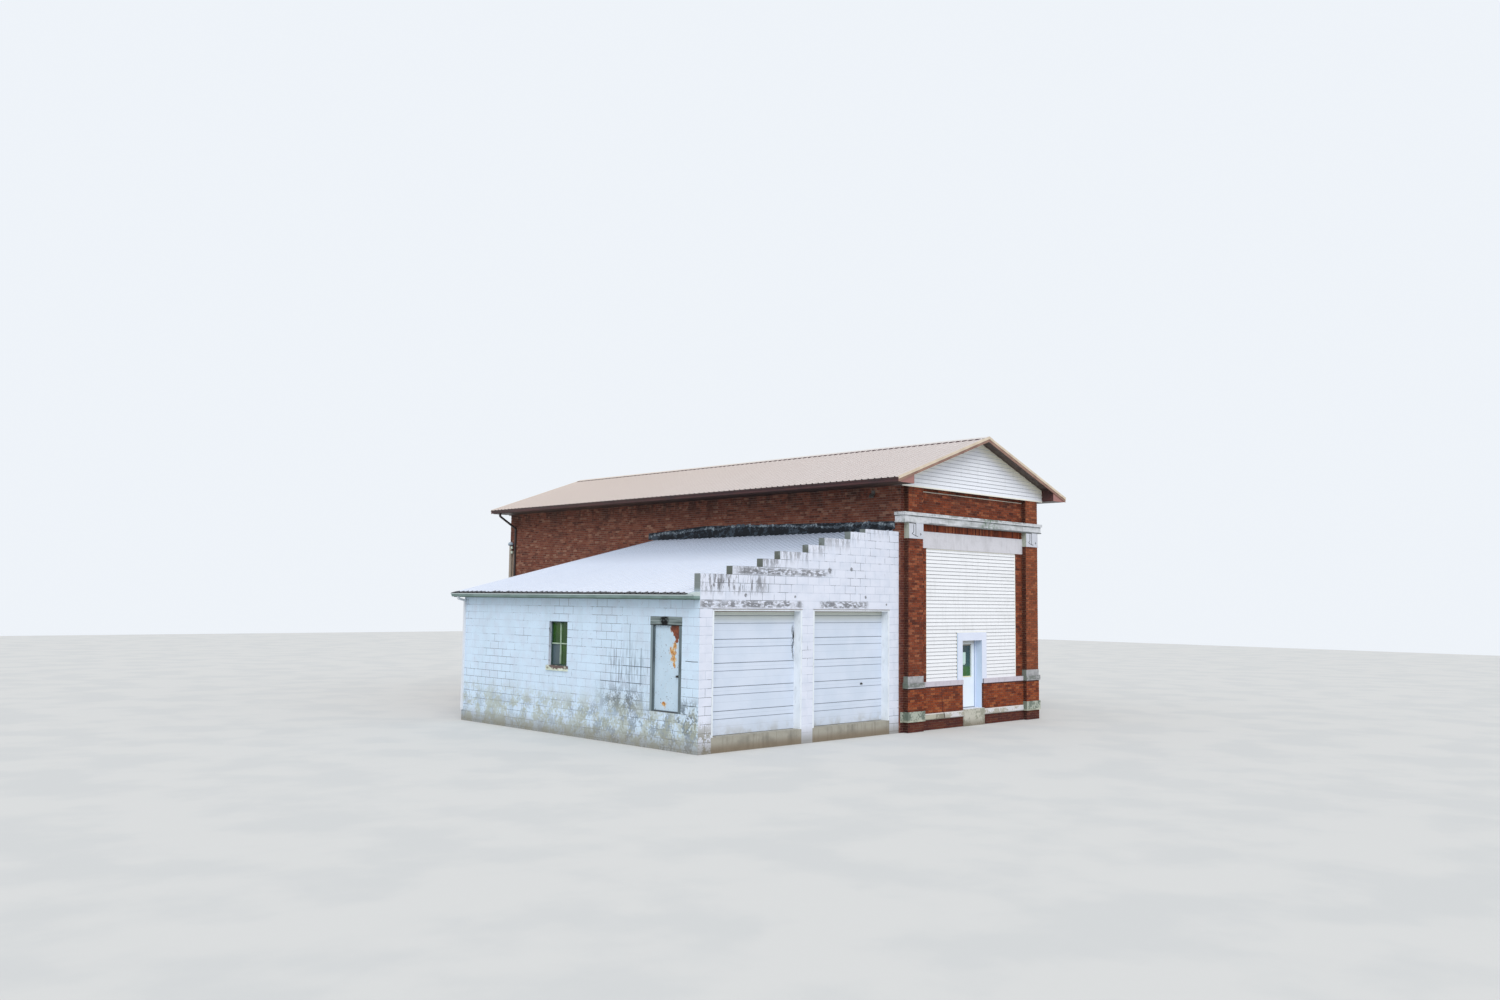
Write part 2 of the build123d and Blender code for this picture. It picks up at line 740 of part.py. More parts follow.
annex_spout_y = annex_rear - annex_spout_in
annex_spout_x = annex_left - downspout_deep / 2
annex_spout_start = fascia_x - annex_gutter_wide * gutter_outlet
with BuildPart() as annex_downspout:
    with BuildLine() as annex_spout:
        FilletPolyline((annex_spout_start, annex_spout_y, annex_gutter_z),
                       (annex_spout_start, annex_spout_y, annex_gutter_z - annex_spout_neck),
                       (annex_spout_x, annex_spout_y, annex_gutter_z - annex_spout_drop),
                       (annex_spout_x, annex_spout_y, spout_foot), radius=annex_spout_bend)
    with BuildSketch(Plane(origin=annex_spout.line @ 0, x_dir=(1, 0, 0), z_dir=(0, 0, -1))):
        Rectangle(downspout_deep, downspout_wide)
    sweep(path=annex_spout.line)

with BuildPart() as roof_flashing:
    with BuildSketch(Plane.YZ.offset(left - flashing_thick)):
        low = annex_under(left) + (sheet + rib_high) / cos(radians(annex_pitch))
        with BuildLine():
            Polyline((annex_front + flashing_from, low), (annex_front + flashing_to, low),
                     (annex_front + flashing_to, low + flashing_front),
                     (annex_front + flashing_mid_at, low + flashing_mid),
                     (annex_front + flashing_from, low + flashing_front), close=True)
        make_face()
    extrude(amount=flashing_thick)

# Garage doors and their boards
with BuildPart() as garage_trims:
    for x in bays:
        with BuildSketch(from_behind(annex_front + garage_set_back)):
            rect(x, x + bay, annex_floor_z, opening_head)
            rect(x + garage_board, x + bay - garage_board, annex_floor_z, opening_head - garage_board,
                 mode=Mode.SUBTRACT)
        extrude(amount=garage_set_back)


def garage_door(x):
    """One sectional door, with a raised band on each section, behind its opening."""
    section = (opening_head - annex_floor_z) / garage_sections
    y = annex_front + garage_set_back
    with BuildPart() as door:
        with BuildSketch(Plane.YZ.offset(x)):
            rect(y, y + garage_door_thick, annex_floor_z, opening_head)
            for n in range(garage_sections):
                low = annex_floor_z + n * section
                rect(y, y + garage_rib, low + section * (1 - garage_rib_share), low + section - garage_rib,
                     mode=Mode.SUBTRACT)
                rect(y, y + garage_rib, low, low + garage_rib, mode=Mode.SUBTRACT)
        extrude(amount=bay)
    return door.part


with BuildPart() as garage_door_left:
    add(garage_door(bays[0]))

with BuildPart() as garage_door_right:
    add(garage_door(bays[1]))

# Side door
side_leaf_front = annex_left + side_set_back
side_leaf_back = side_leaf_front + leaf_thick
side_low = side_sill + leaf_gap
side_high = side_head - leaf_gap
side_axis = (side_leaf_back + barrel_radius, side_to - leaf_gap / 2)
side_hinges = [side_low + share * (side_high - side_low) for share in hinge_shares]
with BuildPart() as side_door_frame:
    for y, inward in ((side_from - side_jamb, 1), (side_to, 0)):
        slab((annex_left, side_leaf_back), (y, y + side_jamb), (side_sill, side_head))
        stop_y = side_from if inward else side_to - stop_wide
        slab((side_leaf_front - stop_clear - stop_deep, side_leaf_front - stop_clear),
             (stop_y, stop_y + stop_wide), (side_sill, side_head))
    for z in side_hinges:
        for low, high in ((z, z + barrel_length / 3 - barrel_gap / 2),
                          (z + barrel_length * 2 / 3 + barrel_gap / 2, z + barrel_length)):
            slab((side_leaf_back, side_leaf_back + plate_thick), (side_axis[1], side_axis[1] + plate_wide),
                 (low, high))
    barrels(side_axis, side_hinges, (0, 2))

with BuildPart() as side_door:
    slab((side_leaf_front, side_leaf_back), (side_from + leaf_gap, side_to - leaf_gap),
         (side_low, side_high))
    for z in side_hinges:
        slab((side_leaf_back, side_leaf_back + plate_thick), (side_axis[1] - plate_wide, side_axis[1]),
             (z + barrel_length / 3 + barrel_gap / 2, z + barrel_length * 2 / 3 - barrel_gap / 2))
    barrels(side_axis, side_hinges, (1,))

side_knob_y = side_from + leaf_gap + handle_in
side_knob_z = side_sill + side_handle_high
with BuildPart() as side_door_knob:
    with BuildSketch(Plane(origin=(side_leaf_front, side_knob_y, side_knob_z), x_dir=(0, -1, 0),
                           z_dir=(0, 0, 1))):
        with BuildLine():
            knob_outline()
        make_face()
    revolve(axis=Axis((side_leaf_front, side_knob_y, side_knob_z), (1, 0, 0)))
    mirror(about=Plane.YZ.offset((side_leaf_front + side_leaf_back) / 2))

with BuildPart() as side_door_lintel:
    slab((annex_left, annex_inside), (side_from - side_jamb, side_to + side_jamb),
         (side_head, side_head + course))
    slab((annex_left - side_lintel_proud, annex_left),
         (side_from - side_jamb - side_lintel_over, side_to + side_jamb + side_lintel_over),
         (side_head, side_head + course))

# Side window
with BuildPart() as window_sill:
    slab((annex_left - window_sill_proud, annex_left + window_sill_bed),
         (window_y - window_sill_over, window_y + window_wide + window_sill_over),
         (window_sill_low, window_sill_high))

frame_x = annex_left + window_set_back
with BuildPart() as window_frame:
    with BuildSketch(Plane.YZ.offset(frame_x)):
        mid_y = window_y + window_wide / 2
        mid_z = (window_sill_high + window_head) / 2
        rect(window_y, window_y + window_wide, window_sill_high, window_head)
        rect(window_y + window_stile, window_y + window_wide - window_stile,
             window_sill_high + window_stile, window_head - window_stile, mode=Mode.SUBTRACT)
        rect(mid_y - window_bar / 2, mid_y + window_bar / 2, window_sill_high, window_head)
        rect(window_y, window_y + window_wide, mid_z - window_stile / 2, mid_z + window_stile / 2)
    extrude(amount=window_frame_deep / 2)
    with BuildSketch(Plane.YZ.offset(frame_x + window_frame_deep / 2)):
        rect(window_y, window_y + window_wide, window_sill_high, window_head)
        rect(window_y + window_stile, window_y + window_wide - window_stile,
             window_sill_high + window_stile, window_head - window_stile, mode=Mode.SUBTRACT)
    extrude(amount=window_frame_deep / 2)

with BuildPart() as window_glass:
    slab((frame_x + window_frame_deep / 2, frame_x + window_frame_deep / 2 + glass_thick),
         (window_y + window_stile, window_y + window_wide - window_stile),
         (window_sill_high + window_stile, window_head - window_stile))

pieces = {
    "bank_floor": bank_floor, "bank_left_wall": bank_left_wall, "bank_right_wall": bank_right_wall,
    "bank_rear_wall": bank_rear_wall, "front_foundation": front_foundation, "front_piers": front_piers,
    "bulkheads": bulkheads, "base_course": base_course, "bulkhead_sills": bulkhead_sills,
    "infill_sides": infill_sides, "infill_top": infill_top, "front_wall_top": front_wall_top,
    "name_panel": name_panel, "pedestals": pedestals, "pedestal_stones": pedestal_stones,
    "pilasters": pilasters, "capitals": capitals, "cornice_band": cornice_band,
    "door_surround": door_surround, "entrance_door": entrance_door, "entrance_glass": entrance_glass,
    "entrance_handle": entrance_handle, "stoop": stoop, "roof_left": roof_left, "roof_right": roof_right,
    "ridge_cap": ridge_cap, "rake_trims": rake_trims, "gable_soffits": gable_soffits,
    "front_gable": front_gable, "rear_gable": rear_gable, "eave_boxes": eave_boxes,
    "gutter_left": gutter_left, "gutter_right": gutter_right,
    "downspouts": downspouts, "service_mast": service_mast, "gable_conduit": gable_conduit,
    "floodlight": floodlight, "annex_floor": annex_floor,
    "garage_piers": garage_piers, "stepped_parapet": stepped_parapet, "annex_side_front": annex_side_front,
    "annex_door_wall": annex_door_wall, "annex_side_rear": annex_side_rear,
    "annex_rear_wall": annex_rear_wall, "annex_roof": annex_roof, "annex_eave_box": annex_eave_box,
    "annex_gutter": annex_gutter, "annex_downspout": annex_downspout, "roof_flashing": roof_flashing,
    "garage_trims": garage_trims, "garage_door_left": garage_door_left,
    "garage_door_right": garage_door_right, "side_door_frame": side_door_frame, "side_door": side_door,
    "side_door_knob": side_door_knob, "side_door_lintel": side_door_lintel, "window_sill": window_sill,
    "window_frame": window_frame, "window_glass": window_glass,
}
for name, piece in pieces.items():
    shape = piece.part if isinstance(piece, BuildPart) else piece
    shape.label = name
    export_step(shape, f"parts/{name}.step")
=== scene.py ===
import math
from types import SimpleNamespace

import bpy
import numpy as np
from mathutils import Matrix, Vector


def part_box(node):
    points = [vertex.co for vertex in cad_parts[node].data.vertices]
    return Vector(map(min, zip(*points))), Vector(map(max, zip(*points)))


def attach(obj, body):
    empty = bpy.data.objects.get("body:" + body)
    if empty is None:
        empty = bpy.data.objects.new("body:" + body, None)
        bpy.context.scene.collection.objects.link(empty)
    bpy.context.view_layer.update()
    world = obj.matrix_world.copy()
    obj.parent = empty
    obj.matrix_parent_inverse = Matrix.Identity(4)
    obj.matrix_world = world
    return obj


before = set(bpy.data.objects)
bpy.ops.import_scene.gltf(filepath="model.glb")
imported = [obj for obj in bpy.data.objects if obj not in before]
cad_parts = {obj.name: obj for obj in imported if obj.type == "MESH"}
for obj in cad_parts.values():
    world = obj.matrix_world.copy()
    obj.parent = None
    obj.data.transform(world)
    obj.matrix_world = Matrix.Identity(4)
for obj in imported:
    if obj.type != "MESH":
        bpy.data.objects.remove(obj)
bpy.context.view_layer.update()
print("frame loaded:", len(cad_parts), "nodes")

up = Vector((0, 0, 1))


def boxOf(node):
    low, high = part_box(node)
    return SimpleNamespace(x0=low[0], y0=low[1], z0=low[2], x1=high[0], y1=high[1], z1=high[2])


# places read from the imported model, in metres
hallBox, piersBox = boxOf("bank_left_wall"), boxOf("garage_piers")
leftX, frontY, rearY, soffitZ = hallBox.x0, hallBox.y0, hallBox.y1, hallBox.z1
rightX = boxOf("bank_right_wall").x1
middleX = (leftX + rightX) / 2
annexLeftX, annexFrontY, annexInnerY, headZ = piersBox.x0, piersBox.y0, piersBox.y1, piersBox.z1
annexRearY = boxOf("annex_rear_wall").y1
sideTopZ = boxOf("annex_side_rear").z1
pilasterBox, pedestalBox, bulkheadBox = boxOf("pilasters"), boxOf("pedestals"), boxOf("bulkheads")
panelBox, bandBox, capitalBox = boxOf("name_panel"), boxOf("cornice_band"), boxOf("capitals")
surroundBox, infillBox, sillBox = boxOf("door_surround"), boxOf("infill_sides"), boxOf("bulkhead_sills")
doorBox, sideFrameBox, lintelBox = boxOf("side_door"), boxOf("side_door_frame"), boxOf("side_door_lintel")
windowBox, windowSillBox = boxOf("window_frame"), boxOf("window_sill")
gableBox, roofBox, annexRoofBox = boxOf("front_gable"), boxOf("roof_left"), boxOf("annex_roof")

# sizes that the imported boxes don't give
plan = {
    "pilasterIn": 0.173, "pilasterWide": 0.645, "pedestalWide": 0.695, "dieTop": 1.51,
    "plinthTop": 0.555, "baseLow": 0.28, "baseHigh": 0.45, "bandCrown": 0.0864, "surroundOver": 0.202,
    "roofSlope": 0.3554, "annexSlope": 0.2434, "sheet": 0.020, "ribPitch": 0.229,
    "course": 0.2032, "halfBlock": 0.2032, "blockDatum": 0.2668,
    "parapetSteps": (5, 10, 13, 18, 21, 26, 29), "firstStepZ": 4.1276,
}

# the fine relief of each kind of surface: noise scale (none where its finish brings its own pattern),
# depth, strength and stretch
grains = {
    "brick": (140, 0.0012, 0.5), "mortar": (220, 0.001, 0.5), "stone": (90, 0.0015, 0.5),
    "enamel": (60, 0.0006, 0.25), "leaf": (60, 0.0008, 0.4), "wood": (50, 0.0008, 0.4, (1, 1, 0.2)),
    "sash": (50, 0.0008, 0.4), "board": (30, 0.0005, 0.3, (0.2, 0.2, 4)), "sheet": (3, 0.002, 0.3, (0.3, 3, 0.3)),
    "tar": (25, 0.006, 0.8), "glass": (3, 0.002, 0.2), "sill": (40, 0.002, 0.6), "metal": (20, 0.0008, 0.3),
    "block": (None, 0.0016, 0.5), "oldWood": (None, 0.004, 0.7),
}


def tint(red, green, blue):
    # a colour as it reads on screen, 0 to 255
    parts = [value / 255 for value in (red, green, blue)]
    return tuple(v / 12.92 if v <= 0.04045 else ((v + 0.055) / 1.055) ** 2.4 for v in parts) + (1.0,)


def dim(colour, share):
    return tuple(value * share for value in colour)


class Finish:
    # one material: a colour, the coats laid over it, and a fine relief
    def __init__(self, name, colour=None, roughness=0.8, specular=0.4):
        self.material = bpy.data.materials.new(name)
        self.material.use_nodes = True
        self.tree = self.material.node_tree
        self.shader = self.tree.nodes["Principled BSDF"]
        self.shader.inputs["Roughness"].default_value = roughness
        self.shader.inputs["Specular IOR Level"].default_value = specular
        self.coords = self.add("ShaderNodeTexCoord").outputs["Object"]
        self.x, self.y, self.z = self.split(self.coords)
        self.colour = colour

    def add(self, kind):
        return self.tree.nodes.new(kind)

    def feed(self, socket, value):
        # a link, a colour or a number
        if isinstance(value, bpy.types.NodeSocket):
            self.tree.links.new(value, socket)
        else:
            socket.default_value = tint(*value) if isinstance(value, tuple) else value

    def split(self, vector):
        node = self.add("ShaderNodeSeparateXYZ")
        self.feed(node.inputs[0], vector)
        return node.outputs

    def calc(self, operation, *values):
        # one operation on two values, or a chain of them
        total = values[0]
        for value in values[1:]:
            node = self.add("ShaderNodeMath")
            node.operation = operation
            self.feed(node.inputs[0], total)
            self.feed(node.inputs[1], value)
            total = node.outputs[0]
        return total

    def times(self, *values):
        return self.calc("MULTIPLY", *values)

    def plus(self, *values):
        return self.calc("ADD", *values)

    def most(self, *values):
        return self.calc("MAXIMUM", *values)

    def size(self, value):
        return self.calc("ABSOLUTE", value, 0.0)

    def spread(self, value, low, high, start=0.0, end=1.0):
        # value from low to high becomes start to end, smoothly
        node = self.add("ShaderNodeMapRange")
        node.interpolation_type = "SMOOTHSTEP"
        for socket, amount in zip(node.inputs, (value, low, high, start, end)):
            self.feed(socket, amount)
        return node.outputs[0]

    def fall(self, value, low, high):
        return self.spread(value, low, high, 1.0, 0.0)

    def within(self, value, low, high, soft=0.05):
        # 1 between low and high, with soft shoulders
        return self.times(self.spread(value, low - soft, low + soft), self.fall(value, high - soft, high + soft))

    def area(self, across, span, height):
        # a soft-edged field: (low, high, soft) across and in height
        return self.times(self.within(across, *span), self.within(self.z, *height))

    def noise(self, scale, low=0.42, high=0.62, detail=4.0, stretch=(1, 1, 1), shift=0.0):
        node = self.add("ShaderNodeTexNoise")
        place = self.add("ShaderNodeMapping")
        place.inputs["Scale"].default_value = stretch
        place.inputs["Location"].default_value = (shift, shift * 0.7, shift * 1.3)
        self.feed(place.inputs["Vector"], self.coords)
        self.feed(node.inputs["Vector"], place.outputs[0])
        node.inputs["Scale"].default_value = scale
        node.inputs["Detail"].default_value = detail
        return self.spread(node.outputs[0], low, high)

    def mottle(self, scale, low=0.45, high=0.6, stretch=(1, 1, 1), shift=0.0):
        # uneven marks: broad patches broken up by fine ones
        broad = self.noise(scale, 0.3, 0.7, detail=5, stretch=stretch, shift=shift)
        fine = self.noise(scale * 6, 0.3, 0.7, detail=6, stretch=stretch, shift=shift + 2)
        return self.spread(self.plus(self.times(broad, 0.6), self.times(fine, 0.4)), low, high)

    def spot(self, places, across, soft=0.5):
        # soft round marks: (across, height, radius)
        marks = []
        for a, b, radius in places:
            squares = [self.calc("POWER", self.calc("SUBTRACT", value, centre), 2.0)
                       for value, centre in ((across, a), (self.z, b))]
            apart = self.calc("SQRT", self.plus(*squares), 0.0)
            marks.append(self.fall(apart, radius * (1 - soft), radius))
        return self.most(*marks)

    def blend(self, amount, first, second, mode="MIX"):
        node = self.add("ShaderNodeMix")
        node.data_type = "RGBA"
        node.blend_type = mode
        for socket, value in ((0, amount), (6, first), (7, second)):
            self.feed(node.inputs[socket], value)
        return node.outputs[2]

    def coat(self, shade, *masks):
        # shade over what is there, as strong as the product of the masks
        self.colour = self.blend(self.times(*masks), self.colour, shade)

    def ramp(self, amount, stops):
        node = self.add("ShaderNodeValToRGB")
        self.feed(node.inputs[0], amount)
        while len(node.color_ramp.elements) < len(stops):
            node.color_ramp.elements.new(0.5)
        for element, (at, colour) in zip(node.color_ramp.elements, stops):
            element.position = at
            element.color = tint(*colour)
        return node.outputs[0]

    def tone(self):
        # the shade number that each brick, block or board carries
        node = self.add("ShaderNodeAttribute")
        node.attribute_name = "tone"
        return node.outputs["Fac"]

    def facing(self):
        return self.split(self.add("ShaderNodeNewGeometry").outputs["Normal"])

    def shadedCheeks(self):
        # faces that look to the left or the right, which take painted shade
        return self.spread(self.size(self.facing()[0]), 0.6, 0.9)

    def onSlope(self):
        # height measured as if the main roof were level
        return self.plus(self.z, self.times(self.size(self.calc("SUBTRACT", self.x, middleX)), plan["roofSlope"]))

    def finish(self, grain=None, rough=None, height=None):
        self.feed(self.shader.inputs["Base Color"], self.colour)
        if rough is not None:
            self.feed(self.shader.inputs["Roughness"], rough)
        if grain:
            scale, depth, strength, *stretch = grains[grain]
            node = self.add("ShaderNodeBump")
            node.inputs["Strength"].default_value = strength
            node.inputs["Distance"].default_value = depth
            if height is None:
                height = self.noise(scale, 0.3, 0.7, stretch=stretch[0] if stretch else (1, 1, 1))
            self.feed(node.inputs["Height"], height)
            self.feed(self.shader.inputs["Normal"], node.outputs[0])
        return self.material


def brickFinish(name, stops, sootAndEaveShade=0.0, dust=0.25, places=(), shadedCheeks=0.0):
    f = Finish(name, roughness=0.92, specular=0.25)
    f.colour = f.ramp(f.tone(), stops)
    f.coat((150, 118, 98), f.noise(9, 0.45, 0.7), dust)
    f.coat((76, 44, 38), f.noise(1.1, 0.45, 0.8, stretch=(1, 1, 0.35)), 0.3)
    f.coat(dim(stops[1][1], 0.6), f.noise(60, 0.5, 0.62), 0.35)
    for axis, low, high, soft, shade, amount in places:
        f.coat(shade, f.within({"x": f.x, "z": f.z}[axis], low, high, soft), amount)
    if shadedCheeks:
        # painted shade on the faces that look left or right
        f.coat((48, 27, 26), f.shadedCheeks(), shadedCheeks)
    if sootAndEaveShade:
        # soot with painted eave shade under the eaves, and soot in broad patches
        f.coat((44, 34, 34), f.spread(f.z, soffitZ - 0.7, soffitZ), sootAndEaveShade,
               f.mottle(0.8, 0.35, 0.7, stretch=(2, 2, 0.5), shift=4))
        f.coat((72, 46, 42), f.noise(0.4, 0.5, 0.75, stretch=(1, 1, 0.4), shift=9), sootAndEaveShade * 0.45)
    return f.finish("brick")


def mortarFinish(name, colour, dark):
    f = Finish(name, colour, 0.95, 0.2)
    f.coat(dark, f.noise(2.2, 0.42, 0.7))
    f.coat((168, 150, 134), f.noise(30, 0.4, 0.7), 0.4)
    return f.finish("mortar")


def stoneFinish(name, colour, stain, streak=0.35, foot=None, cheekShade=None):
    f = Finish(name, colour, 0.88, 0.3)
    f.coat(dim(colour, 0.82), f.noise(45, 0.35, 0.7), 0.2)
    f.coat((84, 82, 76), f.noise(2.6, 0.45, 0.72), stain)
    f.coat((104, 100, 92), f.noise(3.0, 0.5, 0.7, stretch=(5, 5, 0.5), shift=3), streak)
    if foot:
        f.coat((120, 104, 84), f.fall(f.z, foot, foot + 0.22), 0.75)
    if cheekShade:
        # painted shade on the side faces
        f.coat(cheekShade, f.shadedCheeks(), 0.85)
    return f.finish("stone")


def flatPaint(name, colour, roughness=0.45, shade=None, fade=0.15, under=None):
    f = Finish(name, colour, roughness, 0.5)
    f.coat(shade or dim(colour, 0.8), f.noise(1.2, 0.35, 0.7), fade)
    f.coat(dim(colour, 0.7), f.noise(14, 0.5, 0.8), fade * 0.5)
    if under:
        # painted shade on faces that look down
        f.coat(under, f.fall(f.facing()[2], -0.6, -0.1))
    return f.finish("enamel", f.spread(f.noise(6), 0, 1, roughness - 0.06, roughness + 0.12))


# flat paints: colour, roughness, shade in patches, how much of it, and the painted shade on undersides
flatLooks = {
    "crackDark": ((46, 24, 26), 0.95), "crackGrey": ((84, 94, 106), 0.95), "incisionShade": ((54, 54, 58), 0.95),
    "lapShadow": ((150, 151, 158), 0.8), "lapFaint": ((192, 195, 203), 0.8), "lapEndShade": ((78, 80, 88), 0.8),
    "eaveHollowShade": ((44, 40, 42), 0.8), "ridgeGapShade": ((74, 42, 50), 0.8), "headShadow": ((124, 108, 98), 0.8),
    "soffitBrownAndShade": ((64, 48, 44), 0.45, (52, 39, 37)), "darkSpout": ((52, 44, 44), 0.5),
    "spoutWhite": ((222, 226, 232), 0.45, (190, 196, 204)), "lampMetal": ((92, 88, 84), 0.5),
    "pipeGrey": ((164, 152, 138), 0.6, (128, 116, 104), 0.4), "garageGapShade": ((112, 124, 140), 0.45),
    "conduitPaint": ((206, 200, 186), 0.45, (150, 142, 128), 0.4), "knobMetal": ((54, 50, 48), 0.3),
    "mastWood": ((150, 132, 116), 0.9, (118, 100, 88), 0.5), "insulatorGlaze": ((208, 222, 208), 0.25),
    "hoodPale": ((176, 192, 206), 0.45, (110, 120, 130), 0.5, (62, 68, 76)), "noticePaper": ((206, 232, 224), 0.9),
}
flat = {name: flatPaint(name, *look) for name, look in flatLooks.items()}
print("finish tools ready")


def addObject(name, data):
    made = bpy.data.objects.new(name, data)
    bpy.context.scene.collection.objects.link(made)
    return made


def makePiece(name, points, faces, finish, body="building", tones=None):
    mesh = bpy.data.meshes.new(name)
    mesh.from_pydata(points, [], faces)
    mesh.update()
    if tones is not None:
        shade = mesh.attributes.new("tone", "FLOAT", "FACE")
        shade.data.foreach_set("value", np.asarray(tones, np.float32))
    mesh.materials.append(finish)
    piece = addObject(name, mesh)
    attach(piece, body)


ways = {"street": (1, 0, 0), "yard": (-1, 0, 0), "left": (0, -1, 0), "right": (0, 1, 0)}


def plane(side, at):
    # a wall's own axes: origin, along and up, with along x up pointing out of the wall
    along = Vector(ways[side])
    out = along.cross(up)
    return out * (at * (out.x + out.y)), along, up


def onWall(wall, low, high):
    # a world range along the wall, as a range of its own axis
    return (low, high) if wall[1].x + wall[1].y > 0 else (-high, -low)


def mirrored(low, high):
    return 2 * middleX - high, 2 * middleX - low


def box4(u0, u1, v0, v1):
    return (u0, v0), (u1, v0), (u1, v1), (u0, v1)


offcut = {"low": 0.012, "short": 0.014}  # a brick or block cut smaller than this is joint


def courses(wall, rects, unit):
    # the wall with every brick or block of its rectangles, cut off at their edges; a rectangle is
    # a world range along the wall, its bottom and its top
    found = []
    rise, joint, length, datum = unit["rise"], unit["joint"], unit["length"], unit["datum"]
    for start, end, v0, v1 in rects:
        u0, u1 = onWall(wall, start, end)
        for n in range(math.floor((v0 - datum) / rise), math.ceil((v1 - datum) / rise)):
            low = max(v0, datum + n * rise + joint / 2)
            high = min(v1, datum + (n + 1) * rise - joint / 2)
            if high - low < offcut["low"]:
                continue
            header = unit["headers"] and n % unit["headers"] == 0
            pitch = length / 2 if header else length
            shift = unit["start"] + (length / 2 if n % 2 else 0.0) + (length / 4 if header else 0.0)
            k = np.arange(math.floor((u0 - shift) / pitch), math.ceil((u1 - shift) / pitch))
            starts = np.maximum(shift + k * pitch + joint / 2, u0)
            ends = np.minimum(shift + (k + 1) * pitch - joint / 2, u1)
            found += [box4(a, b, low, high) for a, b in zip(starts, ends) if b - a > offcut["short"]]
    return wall, found


def unitArrays(wall, corners, lift, edge, rng, uneven):
    # a low solid on each four-cornered outline: five faces, its front drawn in by edge
    corners = np.asarray(corners, float)
    count = len(corners)
    lifts = np.broadcast_to(np.asarray(lift, float), (count, 4)) + rng.uniform(-uneven, 0, (count, 1))
    inward = np.array(((1, 1), (-1, 1), (-1, -1), (1, -1))) * edge
    flatUnits = np.concatenate([np.dstack([corners, np.zeros((count, 4))]),
                                np.dstack([corners + inward, lifts])], axis=1)
    origin, along, upward = (np.array(v) for v in wall)
    out = np.cross(along, upward)
    points = origin + flatUnits[..., :1] * along + flatUnits[..., 1:2] * upward + flatUnits[..., 2:] * out
    ring = np.array(((4, 5, 6, 7), (0, 1, 5, 4), (1, 2, 6, 5), (2, 3, 7, 6), (3, 0, 4, 7)))
    faces = (np.arange(count) * 8)[:, None, None] + ring
    return points.reshape(-1, 3), faces.reshape(-1, 4)


def unitPiece(name, groups, finish, lift, edge, seed, uneven=0.0, body="building"):
    # groups: (wall, corners) pairs that make one mesh
    rng = np.random.default_rng(seed)
    allPoints, allFaces, tones, start = [], [], [], 0
    for wall, corners in groups:
        if not len(corners):
            continue
        points, faces = unitArrays(wall, corners, lift, edge, rng, uneven)
        allPoints.append(points)
        allFaces.append(faces + start)
        start += len(points)
        tones.append(np.repeat(rng.random(len(corners)), 5))
    points, faces = np.concatenate(allPoints), np.concatenate(allFaces)
    makePiece(name, points.tolist(), faces.tolist(), finish, body, np.concatenate(tones))


def drawLines(name, wall, lines, finish, lift, seed):
    # thin four-cornered strips along drawn lines: (width, route)
    quads = []
    for wide, route in lines:
        for (a, b), (c, d) in zip(route, route[1:]):
            length = math.hypot(c - a, d - b)
            su, sv = (b - d) / length * wide / 2, (c - a) / length * wide / 2
            quads.append(((a - su, b - sv), (c - su, d - sv), (c + su, d + sv), (a + su, b + sv)))
    unitPiece(name, [(wall, quads)], finish, lift, 0.0, seed)


# bricks: running bond on the street front, a course of headers every sixth course elsewhere
brick = {"length": 0.2133, "rise": 0.0677, "joint": 0.010, "datum": 0.0, "start": 0.0, "headers": 0,
         "proud": 0.005, "edge": 0.0012, "uneven": 0.0012}
sideBrick = dict(brick, headers=6)
soldierBrick = dict(brick, length=0.0677, rise=0.205, datum=5.505)

# the shades of the bricks, and places that are darker or lighter: axis, low, high, soft, shade, amount
brickStops = {
    "front": ((0.0, (82, 38, 28)), (0.15, (108, 50, 32)), (0.5, (128, 60, 36)), (0.8, (146, 72, 44)),
              (1.0, (166, 98, 66))),
    "side": ((0.0, (84, 45, 37)), (0.15, (106, 57, 45)), (0.55, (121, 67, 52)), (0.85, (133, 80, 62)),
             (1.0, (152, 112, 92))),
    "low": ((0.0, (98, 44, 28)), (0.25, (130, 58, 32)), (0.7, (150, 72, 38)), (1.0, (170, 98, 58))),
}
brickMarks = {
    "corner": ("x", leftX - 0.05, leftX + plan["pilasterIn"] - 0.02, 0.01, (84, 46, 46), 0.6),
    "right": ("x", rightX - 0.85, rightX, 0.05, (176, 108, 68), 0.2),
    "foot": ("z", -0.1, plan["baseLow"] + 0.02, 0.02, (66, 36, 38), 0.75),
    # painted shadow under the sill stones
    "sillShadow": ("z", bulkheadBox.z1 - 0.035, bulkheadBox.z1 + 0.05, 0.015, (58, 32, 46), 0.8),
}
frontBrickFinish = brickFinish("frontBrick", brickStops["front"], sootAndEaveShade=0.45, dust=0.12, shadedCheeks=0.8,
                               places=[brickMarks[k] for k in ("corner", "right", "foot")])
sideBrickFinish = brickFinish("sideBrick", brickStops["side"], sootAndEaveShade=0.6)
lowBrickFinish = brickFinish("lowBrick", brickStops["low"], dust=0.12, shadedCheeks=0.8,
                             places=[brickMarks[k] for k in ("foot", "sillShadow")])
mortar = mortarFinish("brickMortar", (126, 106, 96), (78, 62, 56))
frontMortar = mortarFinish("frontMortar", (88, 64, 52), (58, 40, 36))


def brickPiece(name, groups, finish, seed):
    unitPiece(name, groups, finish, brick["proud"], brick["edge"], seed, brick["uneven"])


def brickWall(side, at, low, high, bottom, top, unit=brick):
    return courses(plane(side, at), [(low, high, bottom, top)], unit)


def brickPosts(front, left, right, heights):
    # front and both cheeks of a post and of its twin across the middle
    face, groups = brick["proud"], []
    for a, b in ((left, right), mirrored(left, right)):
        for low, high in heights:
            groups.append(brickWall("street", front, a - face, b + face, low, high))
            groups += [brickWall(side, at, front, frontY, low, high) for side, at in (("left", a), ("right", b))]
    return groups


